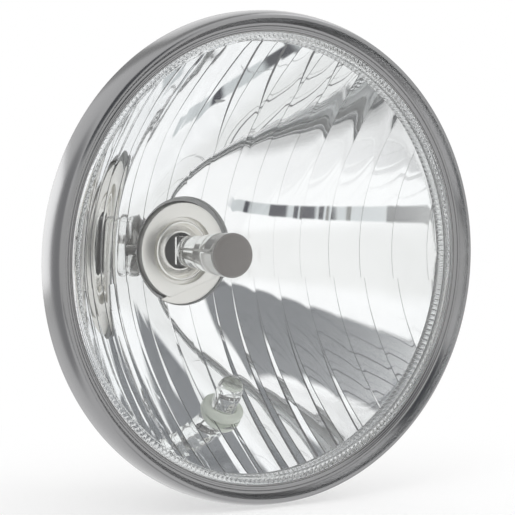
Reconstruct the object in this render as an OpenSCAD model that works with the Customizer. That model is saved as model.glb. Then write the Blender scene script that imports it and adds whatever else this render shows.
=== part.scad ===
// Round motorcycle headlight insert: rolled metal rim, clear moulded lens with a ribbed skirt,
// stepped mirror, two-filament main bulb and a small parking bulb.
// The optical axis runs along Y and the lamp faces -Y.
// The origin is the centre of the rim skirt's rear edge, where the lamp seats in its shell.

/* [Rim] */
// Outside diameter of the rim skirt
rim_d = 184; // [176:1:192]
// Depth of the skirt, from its rear edge to the centre of the rolled front edge
rim_skirt_h = 10; // [9:0.5:13]
// Outside radius of the rolled front edge
rim_roll_r = 2.4; // [2:0.1:2.8]
// Thickness of the rim sheet
rim_sheet = 0.7; // [0.5:0.1:0.9]
// Depth of the groove inside the roll, from the roll's centre
rim_groove_h = 3.1; // [2.5:0.1:3.6]
// Width of the lip that reaches in over the lens
rim_lip_w = 3; // [2.4:0.1:3.4]
// Rise of the lip towards its free edge
rim_lip_rise = 0.5; // [0.2:0.1:0.8]
// Width of the hem folded in at the rear edge
rim_hem_w = 2.4; // [2:0.1:2.8]

/* [Lens] */
// Thickness of the lens wall
lens_wall = 2.3; // [1.8:0.1:2.8]
// Rise of the dome, from its shoulder to its centre
lens_rise = 9; // [5:0.5:14]
// Radius of the rounded shoulder
lens_shoulder_r = 2; // [1:0.5:2.5]
// Height of the shoulder's start above the rim lip's edge
lens_proud = 0.2; // [0.1:0.1:1]
// Thickness of the flange under the rim lip
lens_flange_t = 2; // [1.6:0.1:2.2]
// Number of ribs inside the skirt
rib_count = 250; // [120:10:280]
// Height of each rib
rib_h = 0.7; // [0.4:0.1:1]
// Thickness of the rubber seal under the rim lip
seal_t = 0.8; // [0.5:0.1:1]

/* [Reflector] */
// Focal length of the mirror's middle stripe
mirror_f = 28.4; // [27.5:0.1:30]
// Depth of the mirror's mouth behind the rim's rear edge
mouth_depth = 1; // [0.5:0.1:1.5]
// Length of the straight wall in front of the mirror's edge
mirror_edge_h = 0.8; // [0.4:0.1:1.5]
// Shortening of the focal length from one stripe to the next
stripe_f_step = 0.3; // [0.1:0.05:0.4]
// Height at which neighbouring stripes are level
stripe_level = 35; // [20:1:45]
// Height of the line that parts the upper stripes from the lower ones
stripe_split = -11; // [-16:1:-6]
// Thickness of the moulded bowl
bowl_wall = 3; // [2.4:0.1:3.6]
// Thickness of the flange at the mouth
mouth_flange_t = 2.4; // [2:0.1:3]
// Thickness of the glue line between lens and reflector
glue_t = 0.4; // [0.2:0.1:0.6]
// Gap between the bulb flange's disc and the neck
neck_gap = 2.5; // [2.4:0.1:3.5]
// Wall of the neck and of the rear collar
neck_wall = 2.5; // [2:0.1:3]
// Space between the neck and the rear collar that carries the boot
collar_gap = 9.5; // [9:0.5:12]
// Length of the rear collar behind the bulb seat
collar_h = 5; // [4:0.5:8]

/* [Main bulb] */
// Height of the bulb flange's front face above the mirror's vertex
flange_rise = 3.6; // [3:0.1:4]
// Radius of the flange's disc
flange_r = 19; // [18:0.1:19.4]
// Depth from the flange's front face to its seat
flange_h = 4; // [3:0.1:5]
// Thickness of the flange sheet
flange_sheet = 1; // [0.8:0.1:1.2]
// Radius of the hole in the flange's disc
flange_hole_r = 13.2; // [12.8:0.1:14]
// Reach of the three lugs past the disc
lug_reach = 2.4; // [2:0.1:2.5]
// Depth of the segment cut off by the disc's straight edge
key_cut = 3.6; // [2:0.1:4.5]
// Outside radius of the metal sleeve
sleeve_r = 11.8; // [11.2:0.1:12.2]
// Depth of the dish in the sleeve, from the flange's front face
dish_depth = 4.4; // [3.5:0.1:5]
// Outside radius of the bulb glass
glass_r = 8.4; // [7.5:0.1:8.6]
// Length of the glass, from the flange's front face to its tip
glass_reach = 39; // [34:0.5:42]
// Wall of the bulb glass
glass_wall = 0.9; // [0.7:0.1:1.2]
// Radius of the glass's rounded tip edge
glass_tip_r = 2.4; // [1.5:0.1:3]
// Length of the painted tip
tip_coat_h = 3.4; // [2:0.2:6]
// Length of the moulded base's head
base_h = 12; // [9:0.5:14]
// Width of a connector blade
blade_w = 7.8; // [6.3:0.1:8.2]
// Length of a connector blade behind the base
blade_h = 9.5; // [8:0.5:12]

/* [Parking bulb] */
// Distance of the parking bulb's hole from the mirror's edge
park_inset = 21; // [19:0.5:23]
// Lean of the parking bulb forward from upright
park_lean = 34; // [28:1:42]
// Radius of the hole in the reflector
park_hole_r = 6.4; // [6:0.1:7]
// Radius of the grommet's visible collar
grommet_r = 8.4; // [7.8:0.1:9]
// Height of the grommet's visible collar
grommet_h = 3.6; // [2.5:0.1:5]
// Radius of the parking bulb's glass
park_glass_r = 5; // [4.6:0.1:5.2]
// Height of the parking bulb's tip above the mirror
park_glass_h = 16.5; // [14:0.5:20]

/* [Rear fittings] */
// Diameter of the spring wire that holds the main bulb
wire_d = 1.6; // [1.2:0.1:1.8]
// Number of spring clips that hold the reflector in the rim
clip_count = 6; // [4:1:8]
// Width of a spring clip
clip_w = 10; // [6:1:14]
// Thickness of a spring clip
clip_t = 0.8; // [0.6:0.1:1]
// Wall of the rubber boot
boot_wall = 2; // [1.6:0.1:2.6]

/* [Hidden] */
$fn = 96;
eps = 0.01;
slip = 0.1;

// Rim, in radius and height
rim_r = rim_d / 2;
groove_r = rim_r - 2 * rim_roll_r;
groove_z = rim_skirt_h - rim_groove_h;
lip_r = groove_r - rim_lip_w;
lip_z = groove_z + rim_lip_rise;
lip_under_z = groove_z - rim_sheet;

// Lens
lens_r = lip_r - 2 * slip;
lens_flange_r = groove_r + 0.4;
lens_flange_z = lip_under_z - seal_t;
lens_flange_rear_z = lens_flange_z - lens_flange_t;
shoulder_z = lip_z + lens_proud;
dome_r = lens_r - lens_shoulder_r;
dome_z = shoulder_z + lens_shoulder_r;
rib_root_r = lens_r - lens_wall;
rib_crest_r = rib_root_r - rib_h;
lens_bore_r = rib_crest_r - 2 * slip;
dome_ball_r = (dome_r * dome_r + lens_rise * lens_rise) / (2 * lens_rise);
dome_ball_z = dome_z + lens_rise - dome_ball_r;

// Reflector
mouth_z = -mouth_depth;
mirror_r = rib_crest_r;
vertex_z = mouth_z - mirror_edge_h - mirror_r * mirror_r / (4 * mirror_f);
glue_top_z = mouth_z + glue_t;
mouth_flange_z = mouth_z - mouth_flange_t;
mouth_flange_r = lens_flange_r;
trough_w = 2;
trough_r = lens_r + 4 * slip;
flange_z = vertex_z + flange_rise;
seat_z = flange_z - flange_h;
seat_hole_r = flange_r + 0.6;
seat_wall = 1.5;
neck_r = flange_r + neck_gap;
neck_out_r = neck_r + neck_wall;
collar_r = neck_out_r + collar_gap + neck_wall;
collar_z = seat_z - collar_h;
upper_edges = mirror_r * [0.1, 0.232, 0.347, 0.454, 0.559, 0.664, 0.769, 0.872, 0.974];
lower_edges_right = mirror_r * [0.031, 0.168, 0.263, 0.367, 0.47, 0.575, 0.68, 0.784, 0.888];
lower_edges_left = mirror_r * [0.1, 0.232, 0.341, 0.444, 0.548, 0.652, 0.756, 0.859, 0.963];
lower_f_gain = 0.5;
key_turn = -71.5;
key_drop = 1.4;
key_reach = flange_r - key_cut;
boss_h = 12;

// Main bulb
flange_tail_z = seat_z - flange_sheet;
sleeve_wall = 1;
sleeve_top_z = flange_z - 0.6;
sleeve_tail_z = seat_z - 6;
glass_neck_r = glass_r - 2;
dish_z = flange_z - dish_depth;
dish_r = glass_neck_r + 0.6;
dish_rise = 2.4;
tip_z = flange_z + glass_reach;
tip_drop = glass_tip_r + 0.8;
tip_coat = 0.2;
glass_floor_z = flange_z + 7;
pinch_tail_z = sleeve_tail_z + 1;
pinch_w = 11.6;
pinch_t = 3.6;
base_r = sleeve_r + 1.8;
base_tail_z = sleeve_tail_z - base_h;
blade_t = 0.8;
blade_root = 8;
filament_r = 0.9;
filament_pitch = 0.6;
dip_z = tip_z - 14;
dip_l = 5;
main_z = tip_z - 22.5;
main_l = 4.5;
lead_r = 0.35;
lead_x = 4;
shield_r = 3;

// Wire clip and its fittings
wire_r = wire_d / 2;
wire_z = flange_tail_z - wire_r;
hinge_y = neck_out_r + 1;
arm_x = 16.5;
fitting_t = 1;
screw_r = 1.45;
screw_head_r = 2.6;
screw_head_h = 1.6;
screw_l = 5;
boss_r = 3.3;
screw_ring_r = collar_r - neck_wall - screw_head_r - 3 * slip;
hinge_screw_x = 9.5;
hinge_screw_y = sqrt(screw_ring_r * screw_ring_r - hinge_screw_x * hinge_screw_x);
catch_screw_y = -screw_ring_r;
catch_y = catch_screw_y + screw_head_r + wire_r + 2 * slip;

// Parking bulb
park_drop = mirror_r - park_inset;
park_z = vertex_z + park_drop * park_drop / (4 * mirror_f);
park_pad_r = grommet_r + 0.8;
park_boss_h = 8;
park_lip_h = 2;
park_bore_r = park_glass_r + slip;
park_sheet = 0.7;
park_wedge_w = 9;
park_wedge_t = 2.2;
park_wedge_h = 7;
park_floor = 1;
socket_head_r = 6.6;
socket_tail = 20;
contact_w = 2.8;
contact_t = 0.6;
contact_h = 4;

// Vent
vent_y = mirror_r - 19;
vent_hole_r = 0.9;
vent_r = 4;
vent_reach = 16;
vent_tail_z = vertex_z + vent_y * vent_y / (4 * mirror_f) - vent_reach;
vent_h = vent_reach + 4;

// Points of a round stretch about [cx, cy]
function arc(cx, cy, r, from, to, steps) =
    [for (i = [0 : steps]) let (a = from + (to - from) * i / steps) [cx + r * cos(a), cy + r * sin(a)]];

// Turns the lamp's own frame, with the optical axis up, to face -Y
module optical() {
    rotate([90, 0, 0]) children();
}

// Frame of the parking bulb: its axis is up and the mirror's pad is at zero
module park_axis() {
    optical() translate([0, -park_drop, park_z]) rotate([park_lean - 90, 0, 0]) children();
}

module tube(r, bore, z0, z1) {
    translate([0, 0, z0]) difference() {
        cylinder(r = r, h = z1 - z0);
        translate([0, 0, -eps]) cylinder(r = bore, h = z1 - z0 + 2 * eps);
    }
}

// Straight wire with twelve flats
module rod(from, to, r) {
    d = to - from;
    l = norm(d);
    translate(from) rotate([0, acos(d[2] / l), atan2(d[1], d[0])]) cylinder(r = r, h = l, $fn = 12);
}

// Round wire of radius r along points: straight lengths that lap past each other at the bends
module bent_wire(points, r) {
    lap = 0.4 * r;
    for (i = [0 : len(points) - 2]) {
        run = points[i + 1] - points[i];
        way = run / norm(run);
        rod(points[i] - (i > 0 ? lap : 0) * way, points[i + 1] + (i < len(points) - 2 ? lap : 0) * way, r);
    }
}

// Rolled and folded sheet: skirt, rolled front edge, groove, lip over the lens, hem at the rear
module rim() {
    roll_in_r = rim_roll_r - rim_sheet;
    color("silver") optical() rotate_extrude() polygon(concat(
        [[rim_r - rim_hem_w, 0], [rim_r, 0]],
        arc(rim_r - rim_roll_r, rim_skirt_h, rim_roll_r, 0, 180, 20),
        [[groove_r, groove_z], [lip_r, lip_z], [lip_r, lip_z - rim_sheet], [groove_r + rim_sheet, lip_under_z]],
        arc(rim_r - rim_roll_r, rim_skirt_h, roll_in_r, 180, 0, 16),
        [[rim_r - rim_sheet, rim_sheet], [rim_r - rim_hem_w, rim_sheet]]
    ));
}

// Rubber ring between the rim's lip and the lens flange
module rim_seal() {
    slope = rim_lip_rise / rim_lip_w;
    color("dimgray") optical() rotate_extrude() polygon([
        [lip_r, lens_flange_z],
        [groove_r, lens_flange_z],
        [groove_r, lip_under_z],
        [lip_r, lip_under_z + slope * (groove_r - lip_r)]
    ]);
}

// Bent spring strips: a foot in front of the rim's hem and a toe behind the reflector's flange
module rim_clips() {
    foot_r = sqrt(pow(rim_r - rim_sheet - slip, 2) - pow(clip_w / 2, 2));
    heel_r = mouth_flange_r + 3 * slip;
    toe_r = mouth_flange_r - 2.5;
    foot_z = rim_sheet;
    toe_z = mouth_flange_z;
    color("lightsteelblue") optical() for (i = [0 : clip_count - 1]) rotate([0, 0, 90 + i * 360 / clip_count])
        translate([0, clip_w / 2, 0]) rotate([90, 0, 0]) linear_extrude(clip_w) polygon([
            [foot_r, foot_z],
            [foot_r, foot_z + 4],
            [foot_r - clip_t, foot_z + 4],
            [foot_r - clip_t, foot_z + clip_t],
            [heel_r, foot_z + clip_t],
            [heel_r, toe_z],
            [toe_r, toe_z],
            [toe_r, toe_z - clip_t],
            [heel_r + clip_t, toe_z - clip_t],
            [heel_r + clip_t, foot_z]
        ]);
}

// Star-shaped bore whose points are the grooves between the ribs
module rib_bore() {
    step = 360 / rib_count;
    linear_extrude(lens_flange_z - glue_top_z + eps) polygon([
        for (i = [0 : rib_count - 1], side = [0, 1])
            let (r = side == 0 ? rib_crest_r : rib_root_r)
            r * [cos((i + side / 2) * step), sin((i + side / 2) * step)]
    ]);
}

// Clear moulding: dome, rounded shoulder, flange under the rim's lip, skirt with ribs inside
module lens() {
    dome_edge_a = asin(dome_r / dome_ball_r);
    in_ball_r = dome_ball_r - lens_wall;
    in_edge_a = asin(lens_bore_r / in_ball_r);
    color("aliceblue", 0.4) optical() difference() {
        rotate_extrude() polygon(concat(
            [[lens_bore_r, glue_top_z], [lens_r, glue_top_z], [lens_r, lens_flange_rear_z],
                [lens_flange_r, lens_flange_rear_z], [lens_flange_r, lens_flange_z], [lens_r, lens_flange_z]],
            arc(dome_r, shoulder_z, lens_shoulder_r, 0, 80, 6),
            arc(0, dome_ball_z, dome_ball_r, 90 - dome_edge_a, 90, 20),
            arc(0, dome_ball_z, in_ball_r, 90, 90 - in_edge_a, 20)
        ));
        translate([0, 0, glue_top_z - eps]) rib_bore();
    }
}

// Glue line in the reflector's trough
module lens_glue() {
    color("slategray") optical() tube(lens_r, rib_root_r, mouth_z, glue_top_z);
}

// Focal length of a stripe, and the height of its vertex, level with its neighbour at stripe_level
function stripe_f(k, gain) = mirror_f + gain - k * stripe_f_step;
function stripe_vertex(k, edges, gain) = k == 0 ? vertex_z :
    stripe_vertex(k - 1, edges, gain) + (pow(edges[k - 1], 2) + pow(stripe_level, 2)) / 4
    * (1 / stripe_f(k - 1, gain) - 1 / stripe_f(k, gain));

// One stripe of the mirror: the space in front of its own paraboloid, between two upright planes
module stripe_space(k, edges, gain, x0, x1, y0, y1) {
    f = stripe_f(k, gain);
    v = stripe_vertex(k, edges, gain);
    steps = 18;
    top_z = mouth_z + 6;
    intersection() {
        translate([x0, y0, vertex_z - 5]) cube([x1 - x0, y1 - y0, top_z - vertex_z + 10]);
        rotate_extrude() polygon(concat(
            [for (i = [0 : steps]) let (r = mirror_r * i / steps) [r, v + r * r / (4 * f)]],
            [[mirror_r, top_z], [0, top_z]]
        ));
    }
}

// Stripes to one side of the axis, from the middle out
module stripe_row(edges, gain, y0, y1, side) {
    ends = concat([0], edges, [mirror_r + 1]);
    for (k = [0 : len(edges)]) {
        x0 = side > 0 ? ends[k] : -ends[k + 1];
        x1 = side > 0 ? ends[k + 1] : -ends[k];
        stripe_space(k, edges, gain, x0, x1, y0, y1);
    }
}

module mirror_space() {
    far = mirror_r + 1;
    for (side = [-1, 1]) stripe_row(upper_edges, 0, stripe_split, far, side);
    stripe_row(lower_edges_right, lower_f_gain, -far, stripe_split, 1);
    stripe_row(lower_edges_left, lower_f_gain, -far, stripe_split, -1);
}

// Part of a disc past the flange's straight edge
module key_segment(r, h) {
    rotate([0, 0, key_turn]) intersection() {
        cylinder(r = r, h = h);
        translate([key_reach, -r, 0]) cube([r, 2 * r, h]);
    }
}

// Point of the bowl's outside, a wall's thickness behind the base paraboloid
function bowl_back(r) =
    let (a = atan(r / (2 * mirror_f)))
    [r + bowl_wall * sin(a), vertex_z + r * r / (4 * mirror_f) - bowl_wall * cos(a)];

module bowl_blank() {
    steps = 20;
    rotate_extrude() polygon(concat(
        [[0, mouth_z], [0, seat_z], [neck_out_r, seat_z]],
        [for (i = [0 : steps]) bowl_back(neck_out_r + (mirror_r - neck_out_r) * i / steps)],
        [[mirror_r + bowl_wall, mouth_flange_z], [mouth_flange_r, mouth_flange_z], [mouth_flange_r, mouth_z],
            [trough_r + trough_w, mouth_z], [trough_r + trough_w, lens_flange_rear_z - slip],
            [trough_r, lens_flange_rear_z - slip], [trough_r, mouth_z]]
    ));
}

module boss(x, y) {
    translate([x, y, seat_z]) cylinder(r = boss_r, h = boss_h, $fn = 48);
}

module pilot(x, y) {
    translate([x, y, seat_z - eps]) cylinder(r = screw_r, h = screw_l + slip, $fn = 32);
}

// Moulded bowl in one piece: mirror, mouth flange, neck, rear collar, bosses and vent spigot
module reflector() {
    color("gainsboro") difference() {
        union() {
            optical() {
                bowl_blank();
                tube(collar_r, collar_r - neck_wall, collar_z, vertex_z + 11);
                translate([0, 0, collar_z]) tube(collar_r + 1, collar_r - 1, 0, 1.6);
                for (side = [-1, 1]) boss(side * hinge_screw_x, hinge_screw_y);
                boss(0, catch_screw_y);
                translate([0, vent_y, vent_tail_z]) cylinder(r = vent_r, h = vent_h, $fn = 48);
            }
            park_axis() translate([0, 0, -park_boss_h]) cylinder(r = park_pad_r, h = park_boss_h);
        }
        difference() {
            optical() mirror_space();
            park_axis() translate([0, 0, -park_boss_h]) cylinder(r = park_pad_r, h = park_boss_h);
        }
        park_axis() cylinder(r = park_pad_r, h = 6);
        park_axis() translate([0, 0, -park_boss_h - 6]) cylinder(r = park_hole_r, h = park_boss_h + 8);
        optical() {
            translate([0, 0, seat_z + seat_wall]) cylinder(r = neck_r, h = 12);
            translate([0, 0, seat_z - eps]) cylinder(r = seat_hole_r, h = 12);
            translate([0, 0, seat_z - eps]) key_segment(neck_r, 12);
            for (side = [-1, 1]) pilot(side * hinge_screw_x, hinge_screw_y);
            pilot(0, catch_screw_y);
            translate([0, vent_y, vent_tail_z - eps]) cylinder(r = vent_hole_r, h = vent_h + 4, $fn = 24);
        }
    }
}

// Pressed steel cup: disc with a straight edge, three lugs on the seat, lip round the sleeve
module bulb_flange() {
    tail = flange_tail_z;
    lip_t = 0.8;
    color("gainsboro") optical() {
        difference() {
            union() {
                tube(flange_r, flange_r - flange_sheet, tail, flange_z);
                tube(flange_r, flange_hole_r, flange_z - flange_sheet, flange_z);
                tube(flange_hole_r, flange_hole_r - lip_t, seat_z, flange_z);
                tube(flange_hole_r, sleeve_r, seat_z, seat_z + lip_t);
            }
            translate([0, 0, flange_z - key_drop]) key_segment(flange_r + 1, key_drop + 1);
        }
        translate([0, 0, flange_z - key_drop - flange_sheet]) key_segment(neck_r - 0.3, flange_sheet);
        translate([0, 0, tail]) for (i = [0 : 2]) intersection() {
            tube(flange_r + lug_reach, flange_r - flange_sheet, 0, flange_sheet);
            rotate([0, 0, 90 + 120 * i]) translate([0, -4, 0]) cube([flange_r + lug_reach, 8, flange_sheet]);
        }
    }
}

// Drawn metal sleeve with a dish round the glass in front and room for the base behind
module bulb_sleeve() {
    round_r = 0.5;
    in_r = sleeve_r - sleeve_wall;
    color("whitesmoke") optical() rotate_extrude() polygon(concat(
        [[in_r, sleeve_tail_z], [sleeve_r, sleeve_tail_z]],
        arc(sleeve_r - round_r, sleeve_top_z - round_r, round_r, 0, 90, 4),
        [[in_r - slip, sleeve_top_z], [in_r - slip, dish_z], [dish_r, dish_z + dish_rise],
            [dish_r, dish_z + dish_rise - sleeve_wall], [in_r, dish_z - sleeve_wall]]
    ));
}

// Outline of the glass from its tip to its neck, set in by d
function glass_outline(d) = concat(
    [[0, tip_z - d]],
    arc(glass_r - glass_tip_r, tip_z - tip_drop, glass_tip_r - d, 70, 0, 5),
    [[glass_r - d, tip_z - 0.2 * glass_reach], [(glass_r + glass_neck_r) / 2 - d, tip_z - 0.5 * glass_reach],
        [glass_neck_r - d, tip_z - 0.72 * glass_reach]]
);

module bulb_glass() {
    in = glass_outline(glass_wall);
    color("azure", 0.5) optical() {
        rotate_extrude() polygon(concat(
            glass_outline(0),
            [[glass_neck_r, glass_floor_z - 1.5], [0, glass_floor_z - 1.5], [0, glass_floor_z],
                [glass_neck_r - glass_wall, glass_floor_z]],
            [for (i = [len(in) - 1 : -1 : 0]) in[i]]
        ));
        translate([-pinch_t / 2, -pinch_w / 2, pinch_tail_z])
            cube([pinch_t, pinch_w, glass_floor_z - 1.5 + eps - pinch_tail_z]);
    }
}

// Paint on the tip of the glass, which stops glare
module bulb_tip_coat() {
    bottom = tip_z - tip_coat_h;
    color("dimgray") optical() intersection() {
        rotate_extrude() polygon(concat(
            [[0, tip_z + tip_coat]],
            arc(glass_r - glass_tip_r, tip_z - tip_drop, glass_tip_r + tip_coat, 70, 0, 5),
            [[glass_r + tip_coat, bottom - 1], [glass_r, bottom - 1]],
            arc(glass_r - glass_tip_r, tip_z - tip_drop, glass_tip_r, 0, 70, 5),
            [[0, tip_z]]
        ));
        translate([0, 0, bottom]) cylinder(r = glass_r + 1, h = tip_coat_h + 1);
    }
}

// Coil drawn as a stack of turns about its own axis
module coil(x, y, z0, l) {
    turns = floor(l / filament_pitch);
    translate([x, y, z0]) rotate_extrude($fn = 32) polygon(concat(
        [[0, 0]],
        [for (i = [0 : turns - 1], t = [0.25, 0.5, 0.75])
            [filament_r - (t == 0.5 ? 0 : 0.25), (i + t) * l / turns]],
        [[0, l]]
    ));
}

module dip_filament() {
    color("darkgray") optical() coil(0, 1, dip_z, dip_l);
}

module main_filament() {
    color("darkgray") optical() coil(0, 0, main_z, main_l);
}

// Trough under the dipped filament, closed at its front
module dip_shield() {
    z0 = dip_z - 1;
    l = dip_l + 2.5;
    color("lightgray") optical() translate([0, 0, z0]) difference() {
        cylinder(r = shield_r, h = l, $fn = 64);
        translate([0, 0, -eps]) cylinder(r = shield_r - 0.4, h = l - 0.4, $fn = 64);
        translate([-shield_r - 1, 0.2, -eps]) cube([2 * shield_r + 2, shield_r + 1, l + 1]);
    }
}

// Bent wires from the glass floor to the ends of the coils and to the shield
module bulb_leads() {
    low = glass_floor_z;
    front_z = dip_z + dip_l + lead_r;
    mid_z = main_z + main_l + lead_r;
    rear_z = main_z - lead_r;
    knee = shield_r + lead_r;
    color("silver") optical() {
        bent_wire([[-lead_x, 1, low], [-lead_x, 1, front_z], [0, 1, front_z]], lead_r);
        bent_wire([[lead_x, 0, low], [lead_x, 0, mid_z], [0, 0, mid_z], [0, 1, dip_z]], lead_r);
        bent_wire([[0, -lead_x, low], [0, -lead_x, rear_z], [0, 0, rear_z]], lead_r);
        bent_wire([[0.5, -lead_r, mid_z], [0, -knee, mid_z], [0, -knee, dip_z + 2]], lead_r);
    }
}

// Places of the three connector blades
module blade_places() {
    translate([0, 7, 0]) children();
    for (side = [-1, 1]) translate([side * 7.5, -2, 0]) rotate([0, 0, 90]) children();
}

// Moulded base: a plug inside the sleeve that holds the glass pinch, and a head with the blades
module bulb_base() {
    plug_r = sleeve_r - sleeve_wall - slip;
    plug_top_z = dish_z - sleeve_wall - slip;
    color("dimgray") optical() difference() {
        union() {
            translate([0, 0, sleeve_tail_z]) cylinder(r = plug_r, h = plug_top_z - sleeve_tail_z);
            translate([0, 0, base_tail_z]) cylinder(r = base_r, h = sleeve_tail_z - base_tail_z);
        }
        translate([-pinch_t / 2 - slip, -pinch_w / 2 - slip, pinch_tail_z])
            cube([pinch_t + 2 * slip, pinch_w + 2 * slip, 20]);
        blade_places() translate([-blade_w / 2 - slip / 2, -blade_t / 2 - slip / 2, base_tail_z - eps])
            cube([blade_w + slip, blade_t + slip, blade_root]);
    }
}

module bulb_blades() {
    tail_z = base_tail_z - blade_h;
    tip = 1.5;
    color("gold") optical() blade_places() difference() {
        translate([0, blade_t / 2, tail_z]) rotate([90, 0, 0]) linear_extrude(blade_t) polygon([
            [-blade_w / 2 + tip, 0],
            [blade_w / 2 - tip, 0],
            [blade_w / 2, tip],
            [blade_w / 2, blade_h + blade_root - slip],
            [-blade_w / 2, blade_h + blade_root - slip],
            [-blade_w / 2, tip]
        ]);
        translate([0, blade_t, tail_z + 4]) rotate([90, 0, 0]) cylinder(r = 1, h = 2 * blade_t, $fn = 24);
    }
}

// Spring wire in one piece: pivot legs in the hinge, two arms over the flange, bridge in the catch
module bulb_wire_clip() {
    half = [[1.5, hinge_y, 0], [11, hinge_y, 0], [arm_x, hinge_y - 7, 0], [arm_x, -11, 0], [4, catch_y, 0]];
    path = concat(half, [for (i = [len(half) - 1 : -1 : 0]) [-half[i][0], half[i][1], 0]]);
    color("silver") optical() translate([0, 0, wire_z]) bent_wire(path, wire_r);
}

// Sheet plate on two bosses, with a roll that the wire's legs turn in
module wire_clip_hinge() {
    plate_w = 2 * hinge_screw_x + 5;
    roll_w = 2 * (hinge_screw_x - screw_head_r - 3 * slip);
    roll_r = wire_r + slip + 0.7;
    plate_y = hinge_y + 0.8;
    color("lightsteelblue") optical() difference() {
        union() {
            translate([-plate_w / 2, plate_y, seat_z - fitting_t])
                cube([plate_w, hinge_screw_y + 2.2 - plate_y, fitting_t]);
            intersection() {
                translate([-roll_w / 2, hinge_y, wire_z]) rotate([0, 90, 0])
                    cylinder(r = roll_r, h = roll_w, $fn = 48);
                translate([-roll_w / 2, hinge_y - roll_r, seat_z - 6]) cube([roll_w, 2 * roll_r, 6 - slip]);
            }
        }
        translate([-roll_w / 2 - 1, hinge_y, wire_z]) rotate([0, 90, 0])
            cylinder(r = wire_r + slip, h = roll_w + 2, $fn = 48);
        for (side = [-1, 1]) translate([side * hinge_screw_x, hinge_screw_y, seat_z - fitting_t - eps])
            cylinder(r = screw_r + slip, h = fitting_t + 2 * eps, $fn = 32);
    }
}

// Sheet plate on one boss, with a hook over the wire's bridge
module wire_clip_catch() {
    plate_w = 7;
    inner_y = catch_y + wire_r + 1.2;
    outer_y = catch_screw_y - 2.6;
    hook_z = wire_z - wire_r - slip;
    color("lightsteelblue") optical() difference() {
        union() {
            translate([-plate_w / 2, outer_y, seat_z - fitting_t]) cube([plate_w, inner_y - outer_y, fitting_t]);
            translate([-2, inner_y - 1, hook_z - 0.8]) cube([4, 1, seat_z - hook_z + 0.8]);
            translate([-2, catch_y - 0.6, hook_z - 0.8]) cube([4, inner_y - catch_y + 0.6, 0.8]);
        }
        translate([0, catch_screw_y, seat_z - fitting_t - eps])
            cylinder(r = screw_r + slip, h = fitting_t + 2 * eps, $fn = 32);
    }
}

module screw(x, y) {
    head_z = seat_z - fitting_t;
    translate([x, y, 0]) difference() {
        union() {
            translate([0, 0, head_z - screw_head_h]) cylinder(r = screw_head_r, h = screw_head_h, $fn = 48);
            translate([0, 0, head_z - eps]) cylinder(r = screw_r - 0.05, h = screw_l, $fn = 32);
        }
        translate([-0.4, -screw_head_r, head_z - screw_head_h - eps]) cube([0.8, 2 * screw_head_r, 0.8]);
        translate([-screw_head_r, -0.4, head_z - screw_head_h - eps]) cube([2 * screw_head_r, 0.8, 0.8]);
    }
}

module clip_screws() {
    color("silver") optical() {
        for (side = [-1, 1]) screw(side * hinge_screw_x, hinge_screw_y);
        screw(0, catch_screw_y);
    }
}

// Rubber boot: lip over the rear collar, one fold, sleeve round the bulb base, pull tab
module dust_boot() {
    w = boot_wall;
    lip_h = 7;
    lip_in = collar_r + 1 + slip;
    lip_z = collar_z + lip_h;
    floor_z = collar_z - w;
    fold_r = (collar_r + base_r) / 2;
    fold_h = 5;
    nose_r = base_r + slip;
    nose_z = base_tail_z + 1;
    color("darkslategray") optical() {
        rotate_extrude() polygon([
            [collar_r + slip, lip_z], [lip_in + w, lip_z], [lip_in + w, floor_z],
            [fold_r + w, floor_z], [fold_r, floor_z - fold_h], [fold_r - w - 1, floor_z - fold_h],
            [nose_r + w + 1.5, floor_z], [nose_r + w, floor_z - 1.5], [nose_r + w, nose_z],
            [nose_r, nose_z], [nose_r, floor_z + w - 1], [nose_r + 2.2, floor_z + w],
            [fold_r - w - 2.2, floor_z - fold_h + w], [fold_r - 1, floor_z - fold_h + w], [fold_r + 1, collar_z],
            [lip_in, collar_z], [lip_in, collar_z + 1.6 + slip], [collar_r + slip, collar_z + 1.6 + slip]
        ]);
        translate([-6, -lip_in - w - 7, floor_z]) cube([12, 8, w]);
    }
}

// Translucent rubber collar, seated on the mirror's pad and gripping the boss from behind
module park_grommet() {
    bead = 1.4;
    neck = park_hole_r - slip / 2;
    tail = -park_boss_h - park_lip_h;
    color("honeydew") park_axis() rotate_extrude() polygon(concat(
        [[park_bore_r, tail], [neck + 1.2, tail], [neck + 1.2, -park_boss_h], [neck, -park_boss_h], [neck, 0],
            [grommet_r, 0]],
        arc(grommet_r - bead, grommet_h - bead, bead, 0, 90, 6),
        arc(park_bore_r + 0.6, grommet_h - 0.6, 0.6, 90, 180, 4)
    ));
}

// Plastic holder pushed into the grommet from behind
module park_socket() {
    tail = -park_boss_h - park_lip_h;
    nose_r = park_bore_r - slip / 2;
    color("dimgray") park_axis() difference() {
        union() {
            translate([0, 0, tail]) cylinder(r = nose_r, h = -tail - park_floor);
            translate([0, 0, -socket_tail]) cylinder(r = socket_head_r, h = socket_tail + tail);
            translate([-1.2, -socket_head_r - 1.4, -socket_tail]) cube([2.4, 2 * socket_head_r + 2.8, 5]);
        }
        translate([-park_wedge_w / 2 - slip, -park_wedge_t / 2 - slip, -park_floor - park_wedge_h])
            cube([park_wedge_w + 2 * slip, park_wedge_t + 2 * slip, park_wedge_h + 1]);
        for (side = [-1, 1]) translate([side * 3 - contact_w / 2 - slip / 2, -contact_t / 2 - slip / 2,
            -socket_tail - eps]) cube([contact_w + slip, contact_t + slip, contact_h]);
    }
}

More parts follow.
